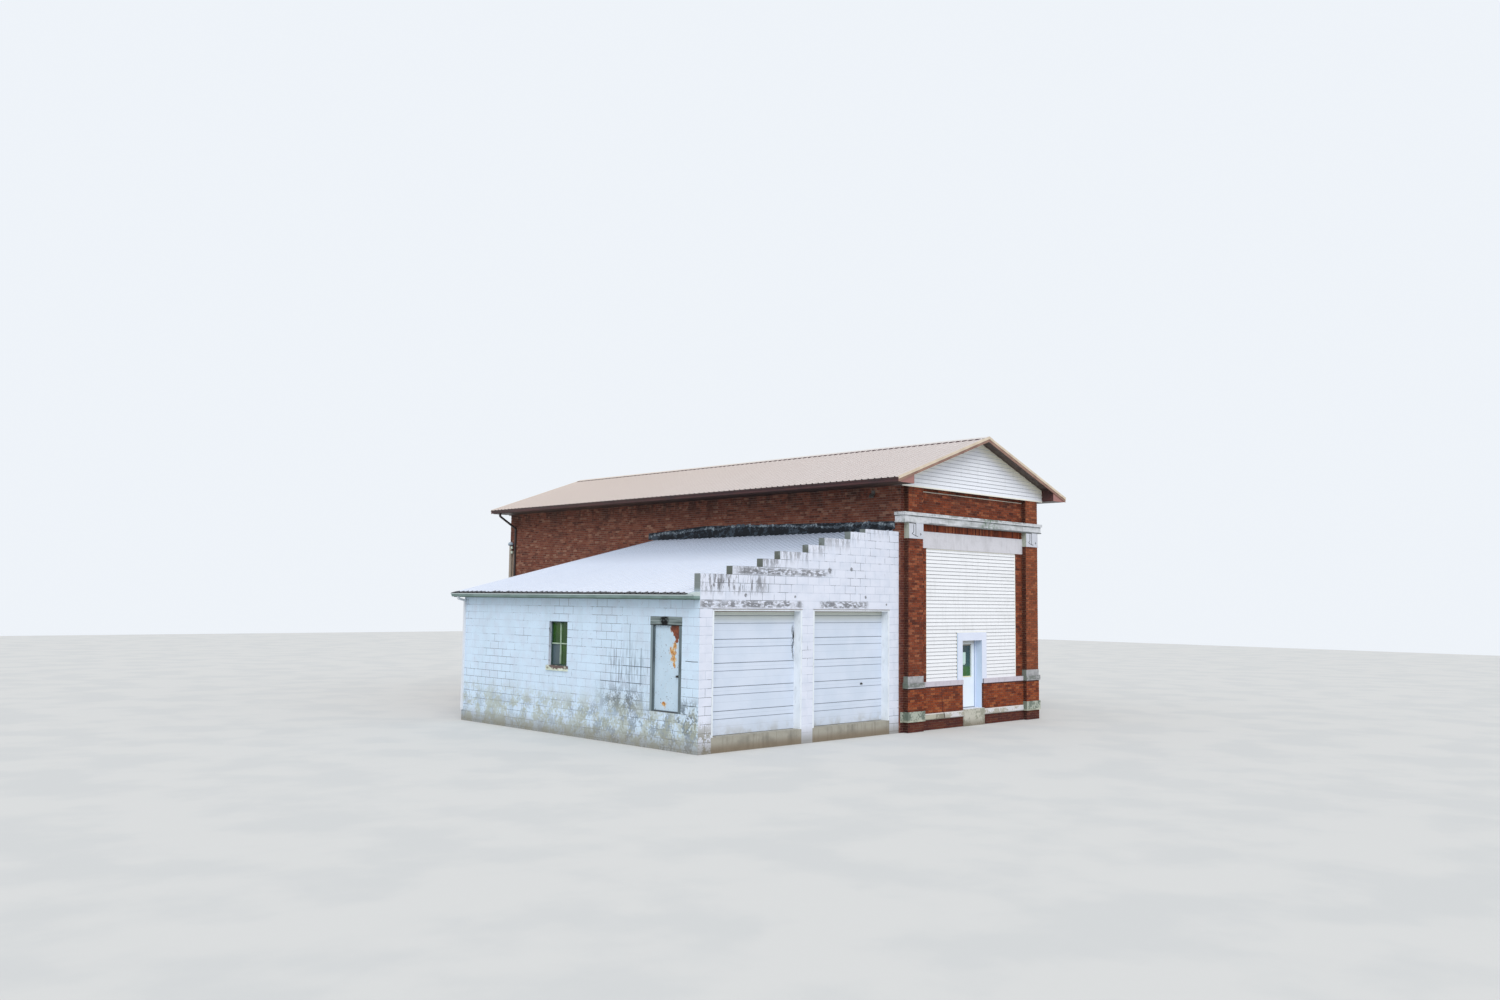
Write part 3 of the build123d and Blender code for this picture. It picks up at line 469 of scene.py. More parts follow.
def layBricks():
    face = brick["proud"]
    pilasterLeft = leftX + plan["pilasterIn"]
    pilasterRight = pilasterLeft + plan["pilasterWide"]
    pedestalLeft = pedestalBox.x0
    pedestalRight = pedestalLeft + plan["pedestalWide"]
    bandLow, bandHigh, sillLow = bandBox.z0, bandBox.z1, bulkheadBox.z1

    street = plane("street", frontY)
    rects = [(leftX, rightX, bandHigh, soffitZ)]
    for a, b, low, high in ((leftX, pilasterLeft, plan["dieTop"], bandLow),
                            (leftX, pedestalLeft, 0.0, plan["baseLow"]),
                            (leftX, pedestalLeft, plan["plinthTop"], plan["dieTop"]),
                            (pilasterRight, infillBox.x0, sillBox.z1, panelBox.z0)):
        rects += [(a, b, low, high), (*mirrored(a, b), low, high)]
    soldiers = [(pilasterRight, 2 * middleX - pilasterRight, panelBox.z1, bandLow)]
    groups = [courses(street, rects, brick), courses(street, soldiers, soldierBrick)]
    groups += brickPosts(pilasterBox.y0, pilasterLeft, pilasterRight,
                         ((plan["dieTop"], capitalBox.z0), (bandHigh, soffitZ)))
    brickPiece("streetBricks", groups, frontBrickFinish, 11)

    # pedestals and the walls under the sills
    groups = brickPosts(pedestalBox.y0, pedestalLeft, pedestalRight,
                        ((0.0, plan["baseLow"]), (plan["plinthTop"], sillLow)))
    front = bulkheadBox.y0
    doorLeft, doorRight = surroundBox.x0 + plan["surroundOver"], surroundBox.x1 - plan["surroundOver"]
    for low, high in ((0.0, plan["baseLow"]), (plan["baseHigh"], sillLow)):
        for a, b in ((pedestalRight, doorLeft), (doorRight, 2 * middleX - pedestalRight)):
            groups.append(brickWall("street", front, a, b, low, high))
        for side, at in (("right", doorLeft), ("left", doorRight)):
            groups.append(brickWall(side, at, front, frontY, low, high))
    brickPiece("lowBricks", groups, lowBrickFinish, 12)

    for name, side, at, low, high, seed in (("leftBricks", "left", leftX, frontY - face, rearY + face, 13),
                                            ("rightBricks", "right", rightX, frontY - face, rearY + face, 14),
                                            ("rearBricks", "yard", rearY, leftX, rightX, 15)):
        brickPiece(name, [brickWall(side, at, low, high, 0.0, soffitZ, sideBrick)], sideBrickFinish, seed)


# an old settlement crack, through the bricks and down into the stone under them: (width, route)
crack = {"brick": (0.018, ((1.812, 1.17), (1.816, 0.894), (1.842, 0.62), (1.863, 0.455))), "brickLift": 0.0064,
         "stone": (0.026, ((1.872, 0.449), (1.893, 0.40), (1.925, 0.285))), "stoneLift": 0.0012}


def crackBulkhead():
    for name, box, kind, slot, seed in (("bulkheadCrack", bulkheadBox, "brick", "brick", 16),
                                        ("baseCrack", boxOf("base_course"), "stone", "limestone", 17)):
        drawLines(name, plane("street", box.y0), [crack[kind]], flat["crackDark"],
                  crack[kind + "Lift"], seed)


layBricks()
crackBulkhead()
print("bricks laid")


# painted blocks of the annex
block = {"length": 0.4064, "rise": 0.2032, "joint": 0.009, "datum": plan["blockDatum"], "start": annexLeftX,
         "headers": 0, "proud": 0.0028, "edge": 0.003, "uneven": 0.0008, "lintelJoint": 0.005}
paint = {"white": (227, 231, 244), "shade": (204, 213, 229), "sideShadedWhite": (212, 232, 250), "grime": (72, 70, 68),
         "sideGrime": (78, 86, 94), "soil": (172, 174, 148), "bare": (104, 108, 98), "moss": (128, 122, 96)}
# where the photograph shows mildew: (low, high, soft) across and in height, or round marks
mildew = {
    "openJoints": ((-7.65, -5.5, 0.35), (1.0, 2.6, 0.4)), "patch": ((-7.3, -5.7, 0.55), (0.7, 1.35, 0.30)),
    "upper": ((-7.4, -6.0, 0.35), (1.3, 2.3, 0.5)), "rightFoot": ((-9.32, -8.55, 0.1), (0.3, 1.15, 0.2)),
    "oldTop": ((-6.2, -2.9, 0.3), (4.14, 4.31, 0.04)), "firstRuns": ((annexLeftX, -5.2, 0.3), (3.72, 4.12, 0.14)),
    "marks": ((-5.86, 3.64, 0.06), (-4.14, 3.62, 0.045), (-1.42, 3.64, 0.055), (-6.9, 3.86, 0.05),
              (-2.0, 4.36, 0.07), (-2.85, 4.3, 0.1), (-0.55, 3.45, 0.04)),
}


def paintedBlocks(name, joint=False):
    f = Finish(name, paint["white"], 0.75, 0.3)
    nx, ny, nz = f.facing()
    side, street = f.fall(nx, -0.9, -0.5), f.fall(ny, -0.9, -0.5)
    # painted shade: the side face takes a bluer copy of the white
    f.coat(paint["sideShadedWhite"], side)
    f.coat(paint["shade"], f.noise(3, 0.4, 0.7), 0.4)
    if joint:
        # the joints are mostly filled with paint, and open and black in places
        f.coat((150, 162, 178), f.plus(f.times(f.noise(1.7, 0.4, 0.6, shift=13), 0.45), 0.15))
        low = f.times(f.within(f.y, -9.4, 0.9, 0.1), f.fall(f.z, 1.4, 2.1), 0.5)
        opened = f.times(f.most(f.area(f.y, *mildew["openJoints"]), low), side, f.noise(5, 0.35, 0.6, shift=6))
        gaps = f.plus(f.mottle(0.7, 0.46, 0.64, shift=2), opened)
        f.coat((84, 90, 98), f.calc("MINIMUM", gaps, 1.0), 0.9)
    else:
        f.coat((186, 192, 206), f.tone(), 0.10)
    streaks = f.mottle(2.6, 0.43, 0.68, stretch=(5, 5, 0.8), shift=1)
    speckle = f.times(f.noise(13, 0.36, 0.56, detail=8, stretch=(0.7, 1, 1.5), shift=5),
                      f.noise(2.2, 0.22, 0.52, shift=15))
    # street face: the course over the doors, the old top course, and runs below the steps
    lintelRow = f.times(f.within(f.z, headZ + 0.03, headZ + 0.2, 0.03),
                        f.plus(f.within(f.x, annexLeftX, -3.9, 0.12), f.within(f.x, -3.2, -1.35, 0.1)))
    runs, top = [f.area(f.x, *mildew["firstRuns"])], plan["firstStepZ"]
    starts = [annexLeftX] + [annexLeftX + n * plan["halfBlock"] for n in plan["parapetSteps"]] + [leftX]
    for n, (a, b) in enumerate(zip(starts, starts[1:])):
        runs.append(f.times(f.within(f.x, a, b, 0.02), f.spread(f.z, top - 0.42, top), 0.9 - 0.05 * n))
        top += plan["course"]
    onStreet = f.most(f.times(f.most(lintelRow, f.area(f.x, *mildew["oldTop"])), speckle),
                      f.times(f.most(*runs), streaks),
                      f.times(f.spot(mildew["marks"], f.x), f.noise(30, 0.3, 0.5)))
    # side face: the dark patch between door and window, the foot, and specks
    patch = f.times(f.area(f.y, *mildew["patch"]), f.mottle(4.5, 0.28, 0.62, stretch=(1, 1, 0.8)))
    upper = f.times(f.area(f.y, *mildew["upper"]), 0.7, f.noise(7, 0.42, 0.7, stretch=(1, 2.5, 0.35), shift=5))
    foot = f.times(f.spread(f.y, -6.8, -2.5, 0.8, 0.35), f.fall(f.z, 0.75, 1.1), 0.9)
    foot = f.times(f.most(f.area(f.y, *mildew["rightFoot"]), foot), f.mottle(2.6, 0.44, 0.7, shift=7))
    specks = f.times(f.noise(26, 0.69, 0.73, shift=11), 0.7)
    f.coat(paint["sideGrime"], f.most(patch, upper, foot, specks), side, 0.8)
    f.coat((176, 196, 206), f.noise(1.3, 0.45, 0.75, stretch=(1, 1, 0.4), shift=12), side, 0.22)
    f.coat(paint["grime"], onStreet, street, 0.75)
    f.coat(paint["soil"], f.fall(f.z, 0.6, 1.4), f.mottle(2.6, 0.3, 0.7, shift=8), side, 0.6)
    f.coat(paint["moss"], f.fall(f.z, 0.3, 0.9), 0.8, f.within(f.x, annexLeftX - 0.1, annexLeftX + 0.42, 0.05),
           street, f.mottle(4, 0.34, 0.6))
    f.coat((128, 122, 108), f.fall(f.z, 0.0, 0.5), 0.75)
    # worn tops of the steps and of the parapet's end
    bare = f.times(f.spread(nz, 0.5, 0.9), f.noise(4, 0.3, 0.6), 0.8)
    ends = f.times(side, f.spread(f.z, sideTopZ + 0.1, sideTopZ + 0.3), 0.85)
    f.coat(paint["bare"], f.most(bare, ends))
    height = f.plus(f.times(f.noise(120, 0.3, 0.7), 0.5), f.noise(12, 0.3, 0.7))
    return f.finish("block", height=height)


blockPaint = paintedBlocks("blockPaint")
jointPaint = paintedBlocks("jointPaint", joint=True)


def blockPiece(name, groups, seed):
    unitPiece(name, groups, blockPaint, block["proud"], block["edge"], seed, block["uneven"])


def layBlocks():
    course, half, face, gap = plan["course"], plan["halfBlock"], block["proud"], block["lintelJoint"]
    wall = plane("street", annexFrontY)
    pierWide = 2 * half
    bay = (leftX - annexLeftX - 3 * pierWide) / 2
    rects = []
    for n in range(3):
        at = annexLeftX + n * (pierWide + bay)
        rects.append((at, at + pierWide, 0.0, headZ))
    middle = annexLeftX + pierWide * 1.5 + bay
    lintels = [box4(a + gap, b - gap, headZ + gap, headZ + course - gap)
               for a, b in ((annexLeftX, middle), (middle, leftX))]
    top = plan["firstStepZ"]
    rects.append((annexLeftX, leftX, headZ + course, top))
    for step in plan["parapetSteps"]:
        rise = course / 2 if step == plan["parapetSteps"][-1] else course
        rects.append((annexLeftX + step * half, leftX, top, top + rise))
        top += rise
    blockPiece("annexStreetBlocks", [courses(wall, rects, block), (wall, lintels)], 21)

    # side wall: columns from front to rear, some with a gap for the door or the window
    wall, rects = plane("left", annexLeftX), []
    besideWindow = (windowSillBox.z0, windowSillBox.z1)
    for low, high, hole in ((annexFrontY - face, sideFrameBox.y0, None),
                            (sideFrameBox.y0, sideFrameBox.y1, (sideFrameBox.z0, lintelBox.z1)),
                            (sideFrameBox.y1, windowSillBox.y0, None),
                            (windowSillBox.y0, windowBox.y0, besideWindow),
                            (windowBox.y0, windowBox.y1, (windowSillBox.z0, windowBox.z1)),
                            (windowBox.y1, windowSillBox.y1, besideWindow),
                            (windowSillBox.y1, annexRearY + face, None)):
        for bottom, top in ((0.0, hole[0]), (hole[1], sideTopZ)) if hole else ((0.0, sideTopZ),):
            rects.append((low, high, bottom, top))
    rects.append((annexFrontY - face, annexInnerY, sideTopZ, plan["firstStepZ"]))
    blockPiece("annexSideBlocks", [courses(wall, rects, dict(block, start=-annexFrontY))], 22)

    # rear wall, cut to the roof's slope
    wall, topZ, units = plane("yard", annexRearY), boxOf("annex_rear_wall").z1, []
    for (a, low), (b, _), (_, high), _ in courses(wall, [(annexLeftX, leftX, 0.0, topZ)], block)[1]:
        limitA, limitB = (topZ - plan["annexSlope"] * (leftX + u) for u in (a, b))
        if min(limitA, limitB) - low > 0.01:
            units.append(((a, low), (b, low), (b, min(high, limitB)), (a, min(high, limitA))))
    blockPiece("annexRearBlocks", [(wall, units)], 23)


# open joints and cracks between the side door and the window, one more beside the door
sideCracks = {
    "uprightWide": 0.013, "levelWide": 0.015, "lift": 0.0036,
    "upright": (((6.80, 2.92), (6.79, 2.69), (6.81, 2.20), (6.80, 1.60), (6.815, 1.23)),
                ((6.19, 2.28), (6.20, 1.89)), ((6.39, 2.04), (6.395, 1.75), (6.38, 1.45)),
                ((7.235, 2.34), (7.24, 1.90), (7.23, 1.44))),
    "level": (((6.55, 1.893), (7.60, 1.891)), ((5.65, 1.487), (6.45, 1.486)), ((6.70, 1.484), (7.30, 1.486)),
              ((8.85, 2.100), (9.10, 2.092), (9.28, 2.098)), ((8.80, 1.079), (9.25, 1.080))),
}


def crackSideWall():
    lines = [(sideCracks[way + "Wide"], route) for way in ("upright", "level") for route in sideCracks[way]]
    drawLines("sideWallCracks", plane("left", annexLeftX), lines, flat["crackGrey"],
              sideCracks["lift"], 24)


layBlocks()
crackSideWall()
print("blocks laid")


# lap siding: each board leans out at its foot
siding = {"infillExposure": 0.102, "gableExposure": 0.112, "foot": 0.018, "head": 0.001, "shadow": 0.013,
          "shadowLift": (0.0046, 0.0046, 0.0022, 0.0022), "shadowIn": 0.02, "behind": 0.020, "channel": 0.028,
          "channelLift": 0.0165, "lapEnd": 0.014, "lapEndLift": 0.0175, "lapEndLow": 0.03, "lapEndHigh": 0.012,
          "doorLine": 0.01, "peakGap": 0.02, "drip": (0.03, 0.012), "dripLift": 0.018, "edge": 0.002}


def sidingFinish(name, warm, raking=None):
    f = Finish(name, roughness=0.5)
    f.colour = f.ramp(f.tone(), ((0.0, warm), (1.0, tuple(min(v + 5, 255) for v in warm))))
    # painted shade on the faces that look down
    f.coat((120, 120, 124), f.fall(f.facing()[2], -0.9, -0.4))
    if raking:
        # the soffit throws a warm light on the boards below it
        f.coat(raking, f.spread(f.onSlope(), gableBox.z1 - 0.42, gableBox.z1 - 0.05))
    f.coat((206, 206, 202), f.noise(0.9, 0.5, 0.75, stretch=(1, 1, 2.5)), 0.18)
    f.coat((170, 172, 168), f.noise(4, 0.5, 0.75, stretch=(3, 3, 0.4), shift=2), 0.12)
    return f.finish("board")


infillSiding = sidingFinish("infillSiding", (240, 241, 244))
gableSiding = sidingFinish("gableSiding", (240, 243, 250), (255, 252, 232))
sidingTrim = sidingFinish("sidingTrim", (242, 240, 228))


def lapLines(boards, above, inward=0.0):
    # the shadow line under the foot of each board but the lowest
    return [box4(a + inward, b - inward, z - siding["shadow"], z)
            for (a, z), (b, _), _, _ in boards if z > above + 0.01]


def hangSiding():
    lift = (siding["foot"], siding["foot"], siding["head"], siding["head"])
    wide, tip, edge = siding["channel"], siding["lapEnd"], siding["edge"]
    wall = plane("street", frontY + siding["behind"])
    left, right, low, top = infillBox.x0, infillBox.x1, sillBox.z1, panelBox.z0
    cutLeft, cutRight, cutTop = surroundBox.x0, surroundBox.x1, surroundBox.z1
    count = round((top - low) / siding["infillExposure"])
    step = (top - low) / count
    boards = []
    for n in range(count):
        a, b = low + n * step, low + (n + 1) * step
        for u0, u1 in [(left, right)] if a > cutTop - 0.01 else [(left, cutLeft), (cutRight, right)]:
            boards.append(box4(u0, u1, a, b))
    unitPiece("infillBoards", [(wall, boards)], infillSiding, lift, 0.0, 31)
    unitPiece("infillLapShadows", [(wall, lapLines(boards, low))], flat["lapShadow"],
              siding["shadowLift"], 0.0, 36)
    # channels round the infill and round the entrance boards
    rects = [box4(left, left + wide, low, top), box4(right - wide, right, low, top),
             box4(left, right, top - wide, top), box4(cutLeft - wide, cutLeft, low, cutTop),
             box4(cutRight, cutRight + wide, low, cutTop),
             box4(cutLeft - wide, cutRight + wide, cutTop, cutTop + wide)]
    unitPiece("infillChannels", [(wall, rects)], sidingTrim, siding["channelLift"], edge, 32)
    # painted shade at the lap ends by the left channels, and a painted shade line beside the entrance's right
    # channel
    ends = []
    for n in range(1, count):
        z = low + n * step
        for u in (left, cutLeft - wide) if z < cutTop else (left,):
            ends.append(box4(u, u + tip, z - siding["lapEndLow"], z + siding["lapEndHigh"]))
    ends.append(box4(cutRight + wide, cutRight + wide + siding["doorLine"], low, cutTop))
    unitPiece("infillLapEnds", [(wall, ends)], flat["lapEndShade"], siding["lapEndLift"], 0.0, 37)

    peak = gableBox.z1 - siding["peakGap"]
    for name, side, at, seed in (("streetGable", "street", gableBox.y0, 33), ("rearGable", "yard", rearY, 34)):
        wall = plane(side, at)
        u0, u1 = onWall(wall, gableBox.x0, gableBox.x1)
        centre, half = (u0 + u1) / 2, (u1 - u0) / 2
        boards, z = [], soffitZ
        while z < peak - siding["peakGap"]:
            nextZ = min(z + siding["gableExposure"], peak)
            reach = [min(half, (peak - level) / plan["roofSlope"]) for level in (z, nextZ)]
            boards.append(((centre - reach[0], z), (centre + reach[0], z), (centre + reach[1], nextZ),
                           (centre - reach[1], nextZ)))
            z = nextZ
        unitPiece(name + "Boards", [(wall, boards)], gableSiding, lift, 0.0, seed)
        unitPiece(name + "LapShadows", [(wall, lapLines(boards, soffitZ, siding["shadowIn"]))], flat["lapFaint"],
                  siding["shadowLift"], 0.0, seed + 7)
        drip = box4(u0, u1, soffitZ - siding["drip"][0], soffitZ + siding["drip"][1])
        unitPiece(name + "Drip", [(wall, [drip])], sidingTrim, siding["dripLift"], edge, seed + 5)


hangSiding()
print("siding hung")


# roof sheets: small ribs between the tall ones, screws, and painted shade at the ends under the ribs
roofLook = {"minorWide": 0.016, "minorHigh": 0.004, "minorEdge": 0.005, "screwRadius": 0.007, "screwHigh": 0.006,
            "screwPitch": 0.6, "screwFrom": 0.12, "screwTo": 0.15, "screwBeside": 0.045, "hollowFoot": 0.029,
            "hollowHead": 0.013, "hollowLow": 0.019, "hollowHigh": 0.0405, "endHigh": 0.0195, "endLift": 0.0015,
            "tallClear": 0.03, "minorClear": 0.02}


def roofFinish(name, colour, shade, ribShade, fade=None, far=None, rough=0.42):
    f = Finish(name, colour, rough, 0.5)
    f.coat(shade, f.noise(0.7, 0.35, 0.7, stretch=(0.6, 2, 1)), 0.35)
    f.coat(dim(colour, 0.85), f.noise(2.2, 0.5, 0.8, stretch=(0.3, 4, 0.3), shift=3), 0.2)
    if far:
        # browner towards the back
        f.coat(far, f.spread(f.y, frontY, rearY), 0.8)
    if fade:
        # painted shade that deepens up the slope, towards the hall
        rise = f.calc("DIVIDE", f.calc("SUBTRACT", f.x, annexLeftX), leftX - annexLeftX)
        f.colour = f.blend(1.0, f.colour, f.ramp(f.most(rise, 0.0), fade), "MULTIPLY")
        rough = f.spread(rise, 0.5, 0.95, rough, 0.95)
    # painted shade on the rib flanks
    f.coat(ribShade, f.spread(f.size(f.facing()[1]), 0.25, 0.6), 0.75)
    if fade:
        # painted shadow: an uneven dark edge along the eave
        wave = f.plus(f.x, f.times(f.noise(4, 0.3, 0.7, shift=9), 0.07))
        f.coat((32, 32, 36), f.fall(wave, annexRoofBox.x0 + 0.16, annexRoofBox.x0 + 0.19), 0.94)
    return f.finish("sheet", rough)


def rakeFinish():
    # pale upper trim over a browner lower one
    f = Finish("rakeTrim", (160, 126, 110), 0.5)
    top = boxOf("rake_trims").z1
    f.coat((138, 104, 92), f.noise(2.5, 0.35, 0.7))
    f.coat(f.blend(f.noise(2.5, 0.35, 0.7), (222, 206, 184), (204, 187, 165)),
           f.spread(f.onSlope(), top - 0.078, top - 0.070))
    return f.finish("enamel")


annexWallShade = ((0.0, (255, 255, 255)), (0.45, (240, 243, 248)), (0.7, (150, 160, 172)), (0.9, (101, 115, 131)),
             (1.0, (84, 101, 121)))
roofTan = roofFinish("roofTan", (222, 216, 213), (214, 205, 201), (190, 176, 172), far=(220, 206, 190))
roofWhite = roofFinish("roofWhite", (240, 243, 250), (230, 236, 247), (200, 209, 226), fade=annexWallShade)


def roofPlane(side, eaveX, eaveZ, slope):
    lean = Vector((1 if side == "left" else -1, 0, slope)).normalized()
    along = Vector(ways[side])
    return Vector((eaveX, 0, eaveZ)) + along.cross(lean) * plan["sheet"], along, lean


def hexHeads(wall, places, radius, high):
    # low six-sided screw heads
    ring = [(math.cos(math.radians(60 * n)), math.sin(math.radians(60 * n))) for n in range(6)]
    origin, along, upward = wall
    out = along.cross(upward)
    points, faces = [], []
    for u, v in places:
        start = len(points)
        for size, w in ((radius, 0.0), (radius * 0.85, high)):
            points += [origin + along * (u + size * c) + upward * (v + size * s) + out * w for c, s in ring]
        for n in range(6):
            m = (n + 1) % 6
            faces.append((start + n, start + m, start + 6 + m, start + 6 + n))
        faces.append(tuple(start + 6 + n for n in range(6)))
    return points, faces


def dressRoof(prefix, side, node, slope, finish):
    box, pitch, half = boxOf(node), plan["ribPitch"], roofLook["minorWide"] / 2
    wall = roofPlane(side, box.x0 if side == "left" else box.x1, box.z0, slope)
    origin, along, lean = wall
    length = (box.x1 - box.x0) * math.sqrt(1 + slope * slope)
    minor, screws, ends = [], [], []
    foot, head = roofLook["hollowFoot"], roofLook["hollowHead"]
    low, high = roofLook["hollowLow"], roofLook["hollowHigh"]
    for y in np.arange(box.y0 + pitch / 2, box.y1 - roofLook["tallClear"], pitch):
        for at in (y + pitch / 3, y + pitch * 2 / 3):
            if at < box.y1 - roofLook["minorClear"]:
                minor.append(box4(at * along.y - half, at * along.y + half, 0.0, length))
        for v in np.arange(roofLook["screwFrom"], length - roofLook["screwTo"], roofLook["screwPitch"]):
            screws.append(((y + roofLook["screwBeside"]) * along.y, v))
        u = y * along.y
        ends.append(((u - foot, low), (u + foot, low), (u + head, high), (u - head, high)))
    unitPiece(prefix + "Ribs", [(wall, minor)], finish, roofLook["minorHigh"], roofLook["minorEdge"], 41)
    points, faces = hexHeads(wall, screws, roofLook["screwRadius"], roofLook["screwHigh"])
    makePiece(prefix + "Screws", points, faces, finish)
    # the cut end at the eave: painted shade in the hollow under each tall rib, and the shadow line of the sheet
    out = along.cross(lean)
    cut = (origin - out * plan["sheet"], along, out)
    ends.append(box4(*onWall(wall, box.y0, box.y1), 0.0, roofLook["endHigh"]))
    unitPiece(prefix + "EaveEnds", [(cut, ends)], flat["eaveHollowShade"], roofLook["endLift"], 0.0, 42)


# painted shade in the gaps between the ribs, along both edges of the ridge cap
ridgeGaps = {"from": 0.03, "ribFoot": 0.06, "below": 0.045, "above": 0.01, "lift": (0.019, 0.019, 0.0205, 0.0205)}


def shadeRidgeGaps():
    slope, pitch = plan["roofSlope"], plan["ribPitch"]
    away = (boxOf("ridge_cap").x0 - roofBox.x0) * math.sqrt(1 + slope ** 2)
    for side, eaveX in (("left", roofBox.x0), ("right", 2 * middleX - roofBox.x0)):
        wall = roofPlane(side, eaveX, roofBox.z0, slope)
        rects = []
        for y in np.arange(roofBox.y0 + pitch / 2, roofBox.y1 - pitch, pitch):
            start = y + ridgeGaps["from"]
            u0, u1 = onWall(wall, start, start + pitch - ridgeGaps["ribFoot"])
            rects.append(box4(u0, u1, away - ridgeGaps["below"], away + ridgeGaps["above"]))
        unitPiece(side + "RidgeGapShades", [(wall, rects)], flat["ridgeGapShade"], ridgeGaps["lift"], 0.0, 43)


for prefix, side, node, slope, finish in (("leftRoof", "left", "roof_left", "roofSlope", roofTan),
                                          ("rightRoof", "right", "roof_right", "roofSlope", roofTan),
                                          ("annexRoof", "left", "annex_roof", "annexSlope", roofWhite)):
    dressRoof(prefix, side, node, plan[slope], finish)
shadeRidgeGaps()


# brushed tar with a ragged edge over the strip where the annex roof meets the hall
tar = {
    "outline": ((-1.40, 5.62), (-0.90, 5.70), (0.60, 5.74), (1.19, 5.763), (3.06, 5.847), (4.09, 5.808),
                (4.85, 5.795), (6.42, 5.723), (7.59, 5.699), (8.37, 5.717), (9.21, 5.652)),
    "stroke": 0.055, "swell": 0.035, "swellFrom": -1.5, "swellTo": 9.6, "swellPitch": 0.45,
    "fringeRise": 0.020, "fringeRough": 0.03, "fringeLift": 0.0125,
    "coatRise": -0.050, "coatRough": 0.035, "coatLift": 0.0140, "under": 0.005,
    "footWide": 0.05, "footMean": 0.03, "footRough": 0.035, "footLift": 0.0225, "footGap": 0.012,
}


def tarFinish(name, colour, light, amount):
    f = Finish(name, colour, 0.7, 0.35)
    f.coat(light, f.mottle(3.5, 0.5, 0.72), amount)
    return f.finish("tar")


tarBlack = tarFinish("tarBlack", (20, 26, 34), (82, 96, 110), 0.55)
tarPale = tarFinish("tarPale", (72, 82, 92), (146, 158, 166), 0.95)


def smearTar():
    rng = np.random.default_rng(61)
    strip = boxOf("roof_flashing")
    ends = np.arange(-strip.y1, -strip.y0 + 0.01, tar["stroke"])
    tops = np.interp(ends, *zip(*tar["outline"]))
    knots = np.arange(tar["swellFrom"], tar["swellTo"], tar["swellPitch"])
    swell = np.interp(ends, knots, rng.uniform(-tar["swell"], tar["swell"], len(knots)))
    foot = strip.z0 - tar["under"]
    for name, finish, kind in (("tarFringe", tarPale, "fringe"), ("tarCoat", tarBlack, "coat")):
        rough = tar[kind + "Rough"]
        edge = tops + swell + tar[kind + "Rise"] + rng.uniform(-rough, rough, len(ends))
        quads = [((a, foot), (b, foot), (b, zb), (a, za)) for a, b, za, zb in zip(ends, ends[1:], edge, edge[1:])]
        unitPiece(name, [(plane("left", leftX), quads)], finish, tar[kind + "Lift"], 0.0, 62)
    roof = roofPlane("left", annexRoofBox.x0, annexRoofBox.z0, plan["annexSlope"])
    slant = (annexRoofBox.x1 - annexRoofBox.x0) * math.sqrt(1 + plan["annexSlope"] ** 2)
    edge = slant - tar["footWide"] - np.abs(rng.normal(tar["footMean"], tar["footRough"], len(ends)))
    top = slant - tar["footGap"]
    quads = [((a, va), (b, vb), (b, top), (a, top)) for a, b, va, vb in zip(ends, ends[1:], edge, edge[1:])
             if -b > annexRoofBox.y0 + 0.01 and -a < annexRoofBox.y1 - 0.01]
    unitPiece("tarFoot", [(roof, quads)], tarBlack, tar["footLift"], 0.0, 63)


smearTar()
print("roofs dressed")


def glassFinish(name):
    # the glass's green is a painted reflection of leaves
    f = Finish(name, (58, 104, 20), 0.06, 0.5)
    f.shader.inputs["Transmission Weight"].default_value = 0.3
    f.shader.inputs["IOR"].default_value = 1.45
    if name == "entranceGlass":
        # painted reflection: green leaves low, dark teal above
        glass = boxOf("entrance_glass")
        rise = f.calc("DIVIDE", f.calc("SUBTRACT", f.z, glass.z0), glass.z1 - glass.z0)
        f.colour = f.ramp(rise, ((0.0, (50, 116, 40)), (0.28, (64, 120, 60)), (0.36, (60, 100, 96)),
                                 (1.0, (62, 84, 92))))
    else:
        # painted reflection: uneven deep green panes of leaves, one of them pale and greyer with the sky
        middleY, middleZ = (windowBox.y0 + windowBox.y1) / 2, (windowBox.z0 + windowBox.z1) / 2
        f.coat((36, 78, 22), f.noise(3, 0.3, 0.7))
        f.coat((92, 112, 120), f.spread(f.y, middleY, middleY + 0.01), f.fall(f.z, middleZ, middleZ + 0.01))
    return f.finish("glass")


def trimPaint():
    f = Finish("trimWhite", (234, 240, 246), 0.55)
    f.coat((206, 214, 221), f.noise(2.2, 0.4, 0.7), 0.4)
    f.coat(dim((206, 214, 221), 0.75), f.noise(18, 0.55, 0.75, stretch=(1, 1, 0.3)), 0.25)
    return f.finish("wood")


# rust on the side door, from its latch edge and its top: (across, down, radius), and the lowest mark
rust = {"edge": 0.10, "heart": ((0.11, 0.03, 0.23), (0.06, 0.13, 0.18), (0.03, 0.25, 0.12), (0.04, 0.35, 0.08)),
        "trail": ((0.11, 0.47, 0.14), (0.18, 0.61, 0.18), (0.15, 0.77, 0.15), (0.12, 0.92, 0.09)),
        "low": (0.46, 0.17, 0.12)}


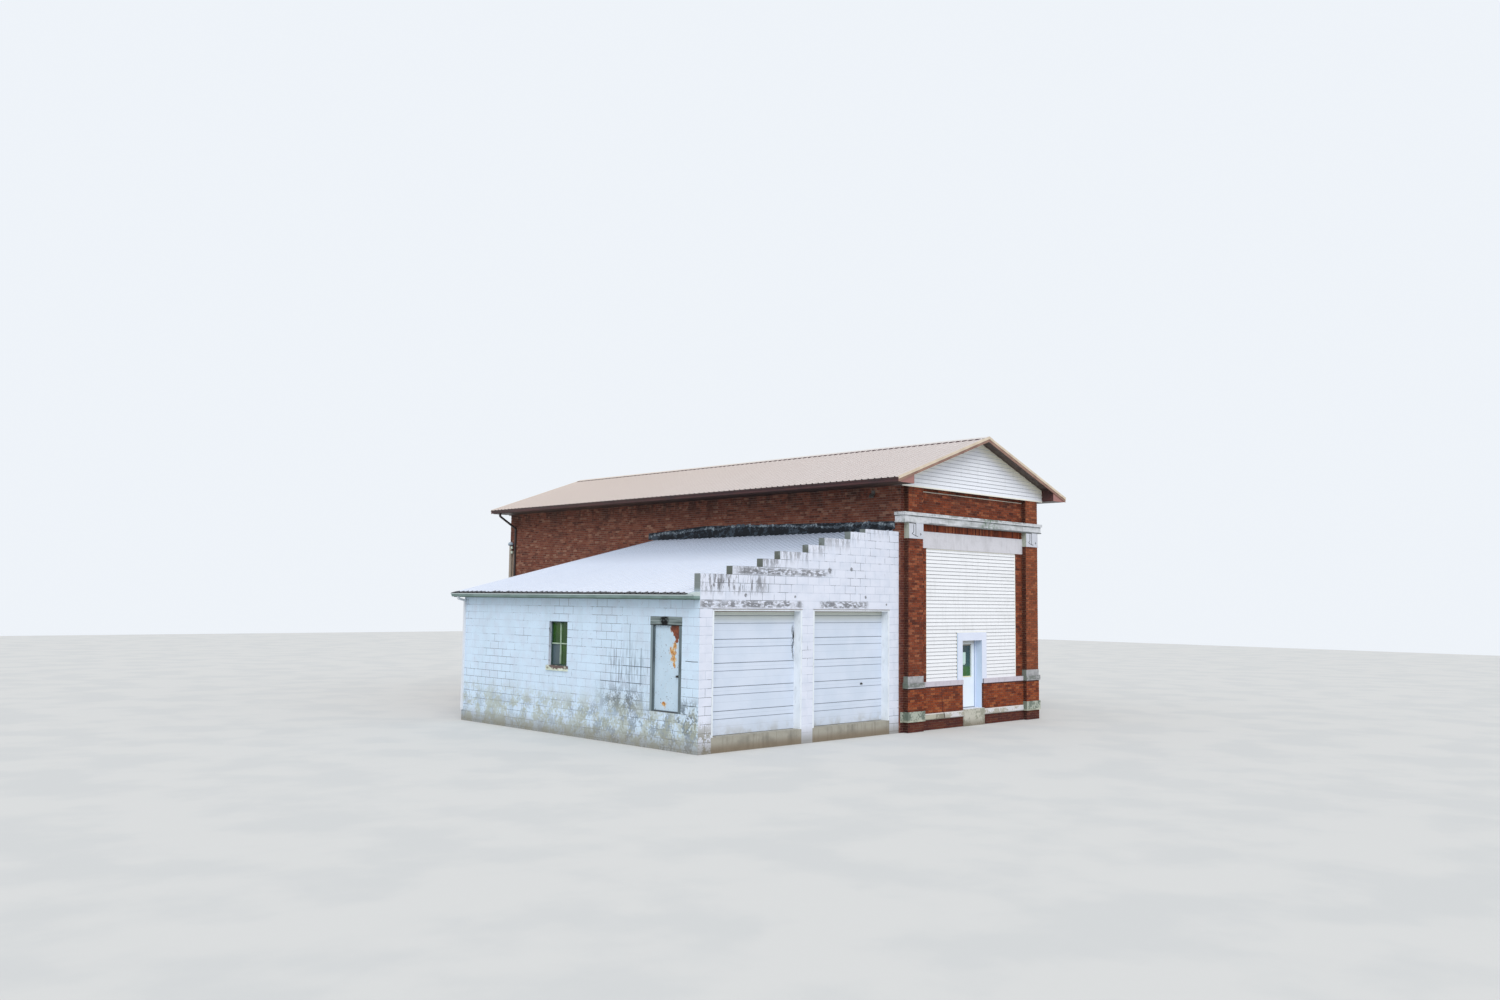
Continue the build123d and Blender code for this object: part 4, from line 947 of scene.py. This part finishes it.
def sideDoorFinish():
    f = Finish("sideDoorPaint", (197, 218, 234), 0.6)
    f.coat((183, 204, 220), f.noise(2.2, 0.4, 0.7), 0.5)
    edge = doorBox.y0 + (doorBox.y1 - doorBox.y0) * rust["edge"]
    across, above, radius = rust["low"]
    marks = {k: [(edge + a, doorBox.z1 - down, r) for a, down, r in rust[k]] for k in ("heart", "trail")}
    heart = f.spot(marks["heart"], f.y, soft=0.6)
    trail = f.spot(marks["trail"] + [(edge + across, doorBox.z0 + above, radius)], f.y, soft=0.9)
    ragged = f.mottle(8, 0.25, 0.75, stretch=(1.6, 1.6, 0.9))
    halo = f.spread(f.plus(f.most(trail, heart), f.times(ragged, 0.5)), 0.52, 0.95)
    f.coat((226, 206, 152), halo, 0.75)
    f.coat(f.blend(f.noise(20), (212, 162, 92), (172, 106, 52)),
           f.spread(f.plus(trail, f.times(ragged, 0.9)), 0.85, 1.2))
    f.coat(f.blend(f.noise(12), (140, 72, 44), (104, 54, 40)),
           f.spread(f.plus(heart, f.times(ragged, 0.5)), 0.62, 0.86))
    f.coat((92, 84, 80), f.noise(24, 0.66, 0.69, shift=3), 0.8)
    # painted shade along the foot, over the gap under the door
    f.coat((54, 56, 58), f.fall(f.z, doorBox.z0 + 0.015, doorBox.z0 + 0.035), 0.85)
    return f.finish("leaf")


def sideFramePaint():
    # the hinge side is paler, with a painted shade line in the gap beside the leaf
    f = Finish("sideFramePaint", (112, 126, 130), 0.6)
    hinge = doorBox.y1
    f.coat((74, 86, 92), f.noise(4, 0.35, 0.7, stretch=(1, 1, 0.4)))
    f.coat((140, 156, 162), f.spread(f.y, hinge + 0.012, hinge + 0.02), 0.75)
    f.coat((34, 38, 42), f.within(f.y, hinge - 0.002, hinge + 0.012, 0.004))
    return f.finish("wood")


def lintelWood():
    # charred in the middle, and darker along the lower edge
    f = Finish("lintelWood", (146, 158, 158), 0.9, 0.2)
    grain = f.noise(10, 0.35, 0.7, detail=8, stretch=(1, 0.12, 4))
    middle, foot = (sideFrameBox.y0 + sideFrameBox.y1) / 2, lintelBox.z0
    f.coat((82, 94, 94), grain)
    f.coat((28, 27, 28), f.spot(((middle + 0.06, foot + 0.11, 0.20),), f.y), f.noise(12, 0.2, 0.5))
    f.coat((26, 27, 30), f.fall(f.z, foot + 0.012, foot + 0.03), 0.85)
    return f.finish("oldWood", height=grain)


def sillPaint():
    # stained and broken along the top, paler below
    f = Finish("sillPaint", (224, 230, 214), 0.85, 0.25)
    middle = (windowSillBox.z0 + windowSillBox.z1) / 2
    ragged = f.plus(f.z, f.times(f.noise(9, 0.3, 0.7, shift=2), 0.06))
    f.coat((196, 206, 186), f.noise(14, 0.35, 0.65))
    f.coat((108, 92, 88), f.spread(ragged, middle + 0.005, middle + 0.035), f.noise(7, 0.3, 0.55))
    return f.finish("sill")


def windowPaint():
    # dark weathered stiles, pale bars between the panes
    f = Finish("windowPaint", (62, 86, 84), 0.6)
    stile = 0.045
    f.coat((46, 62, 62), f.noise(14, 0.4, 0.7))
    f.coat(f.blend(f.noise(14, 0.4, 0.7), (176, 196, 176), (146, 168, 146)),
           f.area(f.y, (windowBox.y0 + stile, windowBox.y1 - stile, 0.002),
                  (windowBox.z0 + stile, windowBox.z1 - stile, 0.002)))
    return f.finish("sash")


# sectional garage doors: five hinged sections a door, each pressed in two bands, under a head board
garage = {"section": 0.5586, "sections": 5, "groove": 0.67, "gap": 0.006, "side": 0.02, "proud": 0.008,
          "edge": 0.004, "board": 0.050, "boardIn": 0.05, "boardLift": 0.014, "headEdge": 0.002,
          "under": (0.022, 0.001), "over": (0.010, 0.002), "lineLift": 0.0155, "lineEdge": 0.001,
          "lineHalf": 0.012, "torn": ((0.15, 0.02, 0.05), (2.12, 2.88, 0.25))}
grip = {"plates": ((-1.36, -1.27, 1.335, 1.377), (-1.335, -1.295, 1.377, 1.392)),
        "lift": (0.030, 0.030, 0.024, 0.024), "edge": 0.004}


def garagePaint():
    f = Finish("garagePaint", (216, 225, 240), 0.5, 0.45)
    door = boxOf("garage_door_left")
    f.coat((200, 213, 230), f.noise(1.6, 0.35, 0.7), 0.5)
    # painted shade and greenish dirt along the top, under the head board
    f.coat((184, 183, 141), f.spread(f.z, door.z1 - 0.42, door.z1 - 0.05), 0.6)
    part = f.calc("FRACT", f.calc("DIVIDE", f.calc("SUBTRACT", f.z, door.z0), garage["section"]), 0.0)
    groove, half = garage["groove"], garage["lineHalf"]
    # painted shade lines at the section joints and the pressed grooves
    faint = f.plus(f.within(part, 0.36, 0.375, 0.006), f.within(part, 0.83, 0.845, 0.006))
    lines = f.most(f.spread(part, 0.985, 0.998), f.fall(part, 0.0, 0.02),
                   f.times(f.within(part, groove - half, groove + half, 0.006), 0.75), f.times(faint, 0.25))
    f.coat((120, 132, 150), lines, 0.8)
    # a torn strip at the left door's right edge
    (inner, outer, soft), height = garage["torn"]
    edge = f.area(f.x, (door.x1 - inner, door.x1 - outer, soft), height)
    torn = f.plus(edge, f.times(f.mottle(7, 0.3, 0.7, stretch=(2.4, 2.4, 0.6)), 0.9))
    f.coat((40, 46, 50), f.spread(torn, 1.05, 1.35), edge)
    f.coat((160, 156, 140), f.fall(f.z, door.z0, door.z0 + 0.35), f.noise(4, 0.4, 0.7), 0.4)
    return f.finish("metal")


def hangGarageDoors():
    gap, tall, side = garage["gap"], garage["section"], garage["boardIn"]
    paintWhite = garagePaint()
    sections, heads, under, over = [], [], [], []
    for node in ("garage_door_left", "garage_door_right"):
        door = boxOf(node)
        wall = plane("street", door.y0)
        u0, u1 = door.x0 + garage["side"], door.x1 - garage["side"]
        for n in range(garage["sections"]):
            foot = door.z0 + n * tall
            split = foot + tall * garage["groove"]
            sections += [box4(u0, u1, foot + gap, split - gap / 2),
                         box4(u0, u1, split + gap / 2, foot + tall - gap)]
        head = door.z1 - garage["board"]
        # painted shadow under the head board, and a painted shade line where the door's top meets the lintel
        under.append(box4(door.x0 + side, door.x1 - side, head - garage["under"][0], head - garage["under"][1]))
        over.append(box4(door.x0, door.x1, door.z1 - garage["over"][0], door.z1 - garage["over"][1]))
        heads.append(box4(door.x0 + side, door.x1 - side, door.z0 + garage["sections"] * tall, head))
    unitPiece("garageSections", [(wall, sections)], paintWhite, garage["proud"],
              garage["edge"], 71)
    unitPiece("garageHeads", [(wall, heads)], paintWhite, garage["boardLift"],
              garage["headEdge"], 72)
    unitPiece("garageHeadShadows", [(plane("street", annexFrontY), over), (wall, under)], flat["headShadow"],
              garage["lineLift"], garage["lineEdge"], 73)
    unitPiece("garageGrip", [(wall, [box4(*plate) for plate in grip["plates"]])], flat["knobMetal"],
              grip["lift"], grip["edge"], 74)


def brownMetal():
    # paler outer ends, painted shade on the undersides
    f = Finish("brownMetal", (84, 48, 46), 0.5, 0.45)
    _, ny, nz = f.facing()
    f.coat((66, 40, 40), f.noise(2, 0.35, 0.7))
    f.coat((160, 112, 106), f.spread(f.size(ny), 0.5, 0.9), f.spread(f.size(f.y), 9.8, 9.9))
    f.coat((72, 62, 58), f.fall(nz, -0.9, -0.5))
    return f.finish("metal")


stoneBandLook = {"joints": (1.176, 1.987, 3.115, 4.858, 5.801), "jointHalf": 0.006, "middle": (1.3, 6.0, 1.3),
                 "green": (4.0, 5.80, 0.7)}


def bandFinish():
    # soot gathers over the middle of the front and along the crown's top; under the crown and at the foot, painted
    # shade with soot
    f = Finish("stoneBand", (214, 216, 221), 0.88, 0.3)
    crown, foot, half = bandBox.z1 - plan["bandCrown"], bandBox.z0, stoneBandLook["jointHalf"]
    centre = f.within(f.x, *stoneBandLook["middle"])
    f.coat((196, 199, 202), f.noise(9, 0.35, 0.7))
    f.coat((128, 134, 130), f.within(f.z, foot + 0.02, crown - 0.01, 0.035), centre,
           f.noise(3.2, 0.36, 0.66, detail=7, stretch=(0.5, 1, 3.2), shift=2), 0.6)
    f.coat((112, 134, 116), f.spot((stoneBandLook["green"],), f.x, soft=0.9), f.noise(8, 0.4, 0.65))
    f.coat((110, 112, 106), f.within(f.z, crown + 0.03, bandBox.z1 + 0.05, 0.02),
           f.mottle(6, 0.42, 0.66, stretch=(0.6, 1, 2)), f.plus(f.times(centre, 0.45), 0.25))
    # painted shade with soot: a line under the crown and one at the foot
    under = f.times(f.within(f.z, crown - 0.028, crown - 0.002, 0.006),
                    f.noise(2, 0.3, 0.55, stretch=(0.6, 1, 1), shift=4))
    below = f.times(f.within(f.z, foot - 0.02, foot + 0.030, 0.006),
                    f.noise(2, 0.3, 0.6, stretch=(0.6, 1, 1), shift=7))
    f.coat((70, 76, 74), f.most(under, below), 0.8)
    joints = [f.within(f.x, x - half, x + half, 0.003) for x in stoneBandLook["joints"]]
    f.coat((110, 114, 112), f.most(*joints), 0.5)
    # painted shade on the side faces
    f.coat((124, 136, 126), f.shadedCheeks(), f.mottle(3, 0.25, 0.6, stretch=(1, 1, 0.6)), 0.6)
    return f.finish("stone")


def pedestalFinish():
    # green and dark weathering, most on the plinths and the lower tier of the caps
    f = Finish("stonePedestal", (175, 175, 177), 0.9, 0.25)
    f.coat((148, 149, 151), f.noise(8, 0.35, 0.7))
    f.coat(f.blend(f.mottle(3, 0.35, 0.65, shift=3), (176, 182, 170), (112, 122, 112)), f.fall(f.z, 0.75, 0.8))
    f.coat((104, 110, 104), f.within(f.z, 1.215, 1.33, 0.012), f.mottle(5, 0.22, 0.5, stretch=(1, 1, 2)), 0.75)
    # painted shade on the side faces
    f.coat((96, 108, 96), f.shadedCheeks(), 0.75)
    f.coat((206, 204, 184), f.fall(f.z, 0.28, 0.36), 0.5)
    return f.finish("stone")


def baseFinish():
    # cream at the left corner, painted white from the crack on
    f = Finish("stoneBase", (188, 184, 168), 0.88, 0.3)
    low, high = plan["baseLow"], plan["baseHigh"]
    f.coat((144, 140, 126), f.mottle(3, 0.35, 0.65))
    f.coat(f.blend(f.mottle(3, 0.4, 0.7, shift=4), (218, 218, 222), (178, 174, 162)), f.spread(f.x, 1.90, 1.96))
    f.coat((224, 224, 222), f.spread(f.z, high - 0.04, high - 0.015), 0.8)
    f.coat((104, 94, 82), f.fall(f.z, low, low + 0.04), 0.8)
    return f.finish("stone")


def gutterPaint(name):
    # painted highlight along the lip, painted shade on the lower belly; the corner by the parapet has gone grey
    f = Finish(name, (134, 158, 154), 0.5, 0.45)
    gutter = boxOf("annex_gutter")
    f.coat((112, 136, 131), f.noise(2, 0.35, 0.7))
    f.coat((206, 217, 217), f.spread(f.z, gutter.z1 - 0.030, gutter.z1 - 0.018), 0.8)
    f.coat((86, 110, 102), f.fall(f.z, gutter.z0 + 0.006, gutter.z0 + 0.034), 0.8)
    f.coat((84, 94, 92), f.fall(f.y, gutter.y0 - 0.03, gutter.y0 - 0.01), 0.85)
    return f.finish("enamel")


def stoopFinish():
    f = Finish("stoopStone", (196, 194, 182), 0.85, 0.3)
    f.coat((156, 156, 142), f.mottle(3, 0.35, 0.65))
    f.coat((224, 226, 234), f.spread(f.facing()[2], 0.6, 0.9), 0.85)
    f.coat((112, 100, 84), f.fall(f.z, 0.0, 0.27), 0.7)
    return f.finish("stone")


def surroundPaint():
    # the right reveal and the head's underside stay in blue shade
    f = Finish("surroundPaint", (226, 232, 248), 0.55)
    nx, _, nz = f.facing()
    f.coat((212, 220, 240), f.noise(2.2, 0.4, 0.7), 0.4)
    f.coat((198, 217, 240), f.fall(nx, -0.9, -0.6), 0.9)
    f.coat((150, 144, 140), f.fall(nz, -0.9, -0.6), 0.9)
    return f.finish("wood")


def leafPaint():
    # painted shade along its head, and painted shade lines at the hinge edge and the foot
    f = Finish("leafPaint", (240, 248, 255), 0.5)
    leaf = boxOf("entrance_door")
    f.coat((226, 238, 252), f.noise(2.2, 0.4, 0.7), 0.4)
    f.coat((176, 170, 158), f.spread(f.z, leaf.z1 - 0.16, leaf.z1 - 0.02), 0.7)
    f.coat((122, 140, 172), f.spread(f.x, leaf.x1 - 0.034, leaf.x1 - 0.022), 0.95)
    f.coat((96, 104, 116), f.fall(f.z, leaf.z0 + 0.012, leaf.z0 + 0.03), 0.8)
    return f.finish("wood")


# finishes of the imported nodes
dressing = (
    (mortar, "bank_left_wall bank_right_wall bank_rear_wall"),
    (frontMortar, "front_piers front_wall_top pilasters pedestals bulkheads"),
    (stoneFinish("concreteStep", (168, 164, 152), 0.35, foot=0.05), "bank_floor front_foundation annex_floor"),
    (stoopFinish(), "stoop"), (baseFinish(), "base_course"), (pedestalFinish(), "pedestal_stones"),
    (stoneFinish("stoneSill", (206, 200, 210), 0.15, 0.12, cheekShade=(116, 122, 132)), "bulkhead_sills"),
    (stoneFinish("stoneCapital", (208, 211, 220), 0.1, 0.12, cheekShade=(158, 164, 146)), "capitals"),
    (stoneFinish("stonePanel", (214, 213, 219), 0.14, 0.1), "name_panel"), (bandFinish(), "cornice_band"),
    (infillSiding, "infill_sides infill_top"), (gableSiding, "front_gable rear_gable"),
    (surroundPaint(), "door_surround"), (leafPaint(), "entrance_door"),
    (glassFinish("entranceGlass"), "entrance_glass"), (glassFinish("windowGlass"), "window_glass"),
    (roofTan, "roof_left roof_right ridge_cap"), (rakeFinish(), "rake_trims"),
    # the soffits' brown darkened by painted shade
    (flat["soffitBrownAndShade"], "gable_soffits"), (brownMetal(), "eave_boxes gutter_left gutter_right"),
    (flat["darkSpout"], "downspouts"), (flat["pipeGrey"], "service_mast"),
    (flat["conduitPaint"], "gable_conduit"), (flat["lampMetal"], "floodlight"),
    (jointPaint, "garage_piers stepped_parapet annex_side_front annex_door_wall annex_side_rear annex_rear_wall"),
    (roofWhite, "annex_roof"), (gutterPaint("gutterGreen"), "annex_gutter"),
    (gutterPaint("eaveGreen"), "annex_eave_box"), (flat["spoutWhite"], "annex_downspout"),
    (tarBlack, "roof_flashing"), (trimPaint(), "garage_trims"),
    # the doors behind the sections are painted darker, as painted shade in the gaps between them
    (flat["garageGapShade"], "garage_door_left garage_door_right"), (sideFramePaint(), "side_door_frame"),
    (sideDoorFinish(), "side_door"), (flat["knobMetal"], "side_door_knob entrance_handle"),
    (lintelWood(), "side_door_lintel"), (sillPaint(), "window_sill"), (windowPaint(), "window_frame"),
)
for material, names in dressing:
    for name in names.split():
        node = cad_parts[name]
        node.data.materials.clear()
        node.data.materials.append(material)
hangGarageDoors()


# the same incised hook and small lozenge on both capitals, with the shade in the incisions painted as dark lines:
# shares of the capital's width and height, from its top left
carving = {
    "strokes": (((0.0, 0.03), (0.47, 0.03)), ((0.32, 0.10), (0.32, 0.60)), ((0.47, 0.03), (0.47, 0.84))),
    "curves": (((0.31, 0.60), (0.20, 0.70), (0.38, 0.79), (0.47, 0.84), (0.63, 0.855)),
               ((0.77, 0.71), (0.81, 0.65), (0.85, 0.71), (0.81, 0.77), (0.77, 0.71))),
    "strokesWide": 0.022, "curvesWide": 0.015, "ahead": 0.020, "lift": 0.0012,
}


def carveCapitals():
    wide, high, lines = plan["pilasterWide"], capitalBox.z1 - capitalBox.z0, []
    for left in (leftX + plan["pilasterIn"], rightX - plan["pilasterIn"] - wide):
        for kind in ("strokes", "curves"):
            lines += [(carving[kind + "Wide"], [(left + u * wide, capitalBox.z1 - v * high) for u, v in route])
                      for route in carving[kind]]
    drawLines("capitalCarving", plane("street", pilasterBox.y0 - carving["ahead"]), lines, flat["incisionShade"],
              carving["lift"], 81)


# moulding round the glass of the entrance door and a blank sheet behind it
lite = {"wide": 0.030, "outer": 0.012, "inner": 0.004, "sheetLift": 0.0012, "sheetEdge": 0.0008,
        "sheetAcross": (0.02, 0.31), "sheetUp": (0.36, 0.20), "slipAcross": (0.04, 0.28), "slipUp": (0.33, 0.355)}


def mouldingPaint(bottom, top):
    # yellowed along the foot, shaded along the head
    f = Finish("mouldingPaint", (208, 222, 208), 0.45, 0.5)
    f.coat((190, 206, 194), f.noise(9, 0.35, 0.7))
    f.coat((240, 236, 192), f.fall(f.z, bottom - 0.001, bottom))
    f.coat((150, 142, 128), f.spread(f.z, top, top + 0.001))
    return f.finish("enamel")


def fitLite():
    glass = boxOf("entrance_glass")
    x0, z0, x1, z1 = glass.x0, glass.z0, glass.x1, glass.z1
    out, thick, thin = lite["wide"], lite["outer"], lite["inner"]
    corners = [((x0 - out, z0 - out), (x1 + out, z0 - out), (x1, z0), (x0, z0)),
               ((x1, z0), (x1 + out, z0 - out), (x1 + out, z1 + out), (x1, z1)),
               ((x0, z1), (x1, z1), (x1 + out, z1 + out), (x0 - out, z1 + out)),
               ((x0 - out, z0 - out), (x0, z0), (x0, z1), (x0 - out, z1 + out))]
    lifts = ((thin, thin, thick, thick), (thick, thin, thin, thick), (thick, thick, thin, thin),
             (thin, thick, thick, thin))
    unitPiece("liteMoulding", [(plane("street", boxOf("entrance_door").y0), corners)], mouldingPaint(z0, z1),
              lifts, 0.0, 91, body="entrance_door")
    (a, b), (low, high) = lite["sheetAcross"], lite["sheetUp"]
    (c, d), (under, over) = lite["slipAcross"], lite["slipUp"]
    sheets = [box4(x0 + a, x0 + b, z0 + low, z1 - high), box4(x0 + c, x0 + d, z0 + under, z0 + over)]
    unitPiece("noticeSheets", [(plane("street", glass.y0), sheets)], flat["noticePaper"],
              lite["sheetLift"], lite["sheetEdge"], 92, body="entrance_door")


# weathered backing boards, rain hood and two insulators on the service mast; the hood and the
# insulators are turned from (radius, height) profiles, placed from the mast's middle near its top
mast = {
    "boards": (-9.58, -9.44), "boardLow": 3.4, "butt": (4.648, 4.652), "boardTop": 0.35, "boardLift": 0.030,
    "boardEdge": 0.003, "radius": 0.057, "down": 0.10, "sides": 16,
    "hood": ((0.085, -0.04), (0.105, 0.0), (0.10, 0.05), (0.07, 0.085), (0.02, 0.098)),
    "hoodAt": ((-0.02, -0.02, 0.0),),
    "insulator": ((0.02, -0.05), (0.05, -0.035), (0.035, 0.0), (0.05, 0.035), (0.02, 0.05)),
    "insulatorAt": ((-0.04, -0.13, -0.12), (-0.04, -0.13, -0.30)),
}


def turned(name, middle, places, profile, finish):
    sides, points, faces = mast["sides"], [], []
    turns = [2 * math.pi * n / sides for n in range(sides)]
    for place in places:
        start = len(points)
        for radius, lift in profile:
            points += [middle + Vector(place) + Vector((radius * math.cos(turn), radius * math.sin(turn), lift))
                       for turn in turns]
        for k in range(len(profile) - 1):
            for n in range(sides):
                a, b = start + sides * k + n, start + sides * k + (n + 1) % sides
                faces.append((a, b, b + sides, a + sides))
        faces.append(tuple(start + sides - 1 - n for n in range(sides)))
        faces.append(tuple(start + sides * (len(profile) - 1) + n for n in range(sides)))
    makePiece(name, points, faces, finish)


def hoodMast():
    pipe = boxOf("service_mast")
    boards = [box4(*mast["boards"], z0, z1) for z0, z1 in ((mast["boardLow"], mast["butt"][0]),
                                                           (mast["butt"][1], pipe.z1 - mast["boardTop"]))]
    unitPiece("mastBoards", [(plane("left", leftX), boards)], flat["mastWood"], mast["boardLift"],
              mast["boardEdge"], 94)
    middle = Vector((pipe.x0 + mast["radius"], (pipe.y0 + pipe.y1) / 2, pipe.z1 - mast["down"]))
    turned("mastHood", middle, mast["hoodAt"], mast["hood"], flat["hoodPale"])
    turned("mastInsulators", middle, mast["insulatorAt"], mast["insulator"], flat["insulatorGlaze"])


carveCapitals()
fitLite()
hoodMast()
print("nodes dressed")


# camera at the photograph's angle, lens and tilt worked out from the building's edges
viewpoint = {"place": (-25.6214, -29.5025, 3.504), "yaw": 44.540, "pitch": 4.887, "roll": 0.6955, "lens": 28.35,
             "sensor": 36.0, "farthest": 500.0}


def setCamera():
    yaw, pitch, roll = (math.radians(viewpoint[k]) for k in ("yaw", "pitch", "roll"))
    ahead = Vector((math.sin(yaw) * math.cos(pitch), math.cos(yaw) * math.cos(pitch), math.sin(pitch)))
    right = Vector((math.cos(yaw), -math.sin(yaw), 0))
    top = right.cross(ahead)
    across = right * math.cos(roll) + top * math.sin(roll)
    upright = top * math.cos(roll) - right * math.sin(roll)
    data = bpy.data.cameras.new("photoCamera")
    data.lens, data.sensor_width = viewpoint["lens"], viewpoint["sensor"]
    data.clip_end = viewpoint["farthest"]
    camera = addObject("photoCamera", data)
    turn = Matrix((across, upright, -ahead)).transposed().to_4x4()
    camera.matrix_world = Matrix.Translation(Vector(viewpoint["place"])) @ turn
    bpy.context.scene.camera = camera


studio = {"sky": 0.80, "skyColour": (0.93, 0.96, 1.0, 1), "seenColour": (0.86, 0.90, 0.95, 1), "sun": 1.5,
          "sunSoft": 40, "sunFrom": (-0.75, -0.85, 1.0), "floorSize": 160.0, "floorZ": -0.002}


def setStudio():
    world = bpy.data.worlds.new("paleStudio")
    bpy.context.scene.world = world
    world.use_nodes = True
    tree = world.node_tree
    background = tree.nodes["Background"]
    background.inputs["Color"].default_value = studio["skyColour"]
    background.inputs["Strength"].default_value = studio["sky"]
    seen = tree.nodes.new("ShaderNodeBackground")
    seen.inputs["Color"].default_value = studio["seenColour"]
    mix = tree.nodes.new("ShaderNodeMixShader")
    path = tree.nodes.new("ShaderNodeLightPath")
    tree.links.new(path.outputs["Is Camera Ray"], mix.inputs[0])
    tree.links.new(background.outputs[0], mix.inputs[1])
    tree.links.new(seen.outputs[0], mix.inputs[2])
    tree.links.new(mix.outputs[0], tree.nodes["World Output"].inputs[0])

    lamp = bpy.data.lights.new("softSun", "SUN")
    lamp.energy, lamp.angle = studio["sun"], math.radians(studio["sunSoft"])
    sun = addObject("softSun", lamp)
    sun.rotation_mode = "QUATERNION"
    sun.rotation_quaternion = Vector(studio["sunFrom"]).to_track_quat("Z", "Y")

    half = studio["floorSize"] / 2
    mesh = bpy.data.meshes.new("floor")
    corners = [(x, y, studio["floorZ"]) for x, y in box4(-half, half, -half, half)]
    mesh.from_pydata(corners, [], [(0, 1, 2, 3)])
    f = Finish("floorPale", (214, 214, 212), 0.9, 0.1)
    f.coat((208, 209, 208), f.noise(0.5))
    mesh.materials.append(f.finish())
    floor = addObject("floor", mesh)


setCamera()
setStudio()
bpy.context.scene.view_settings.view_transform = "Standard"
print("camera and light set")
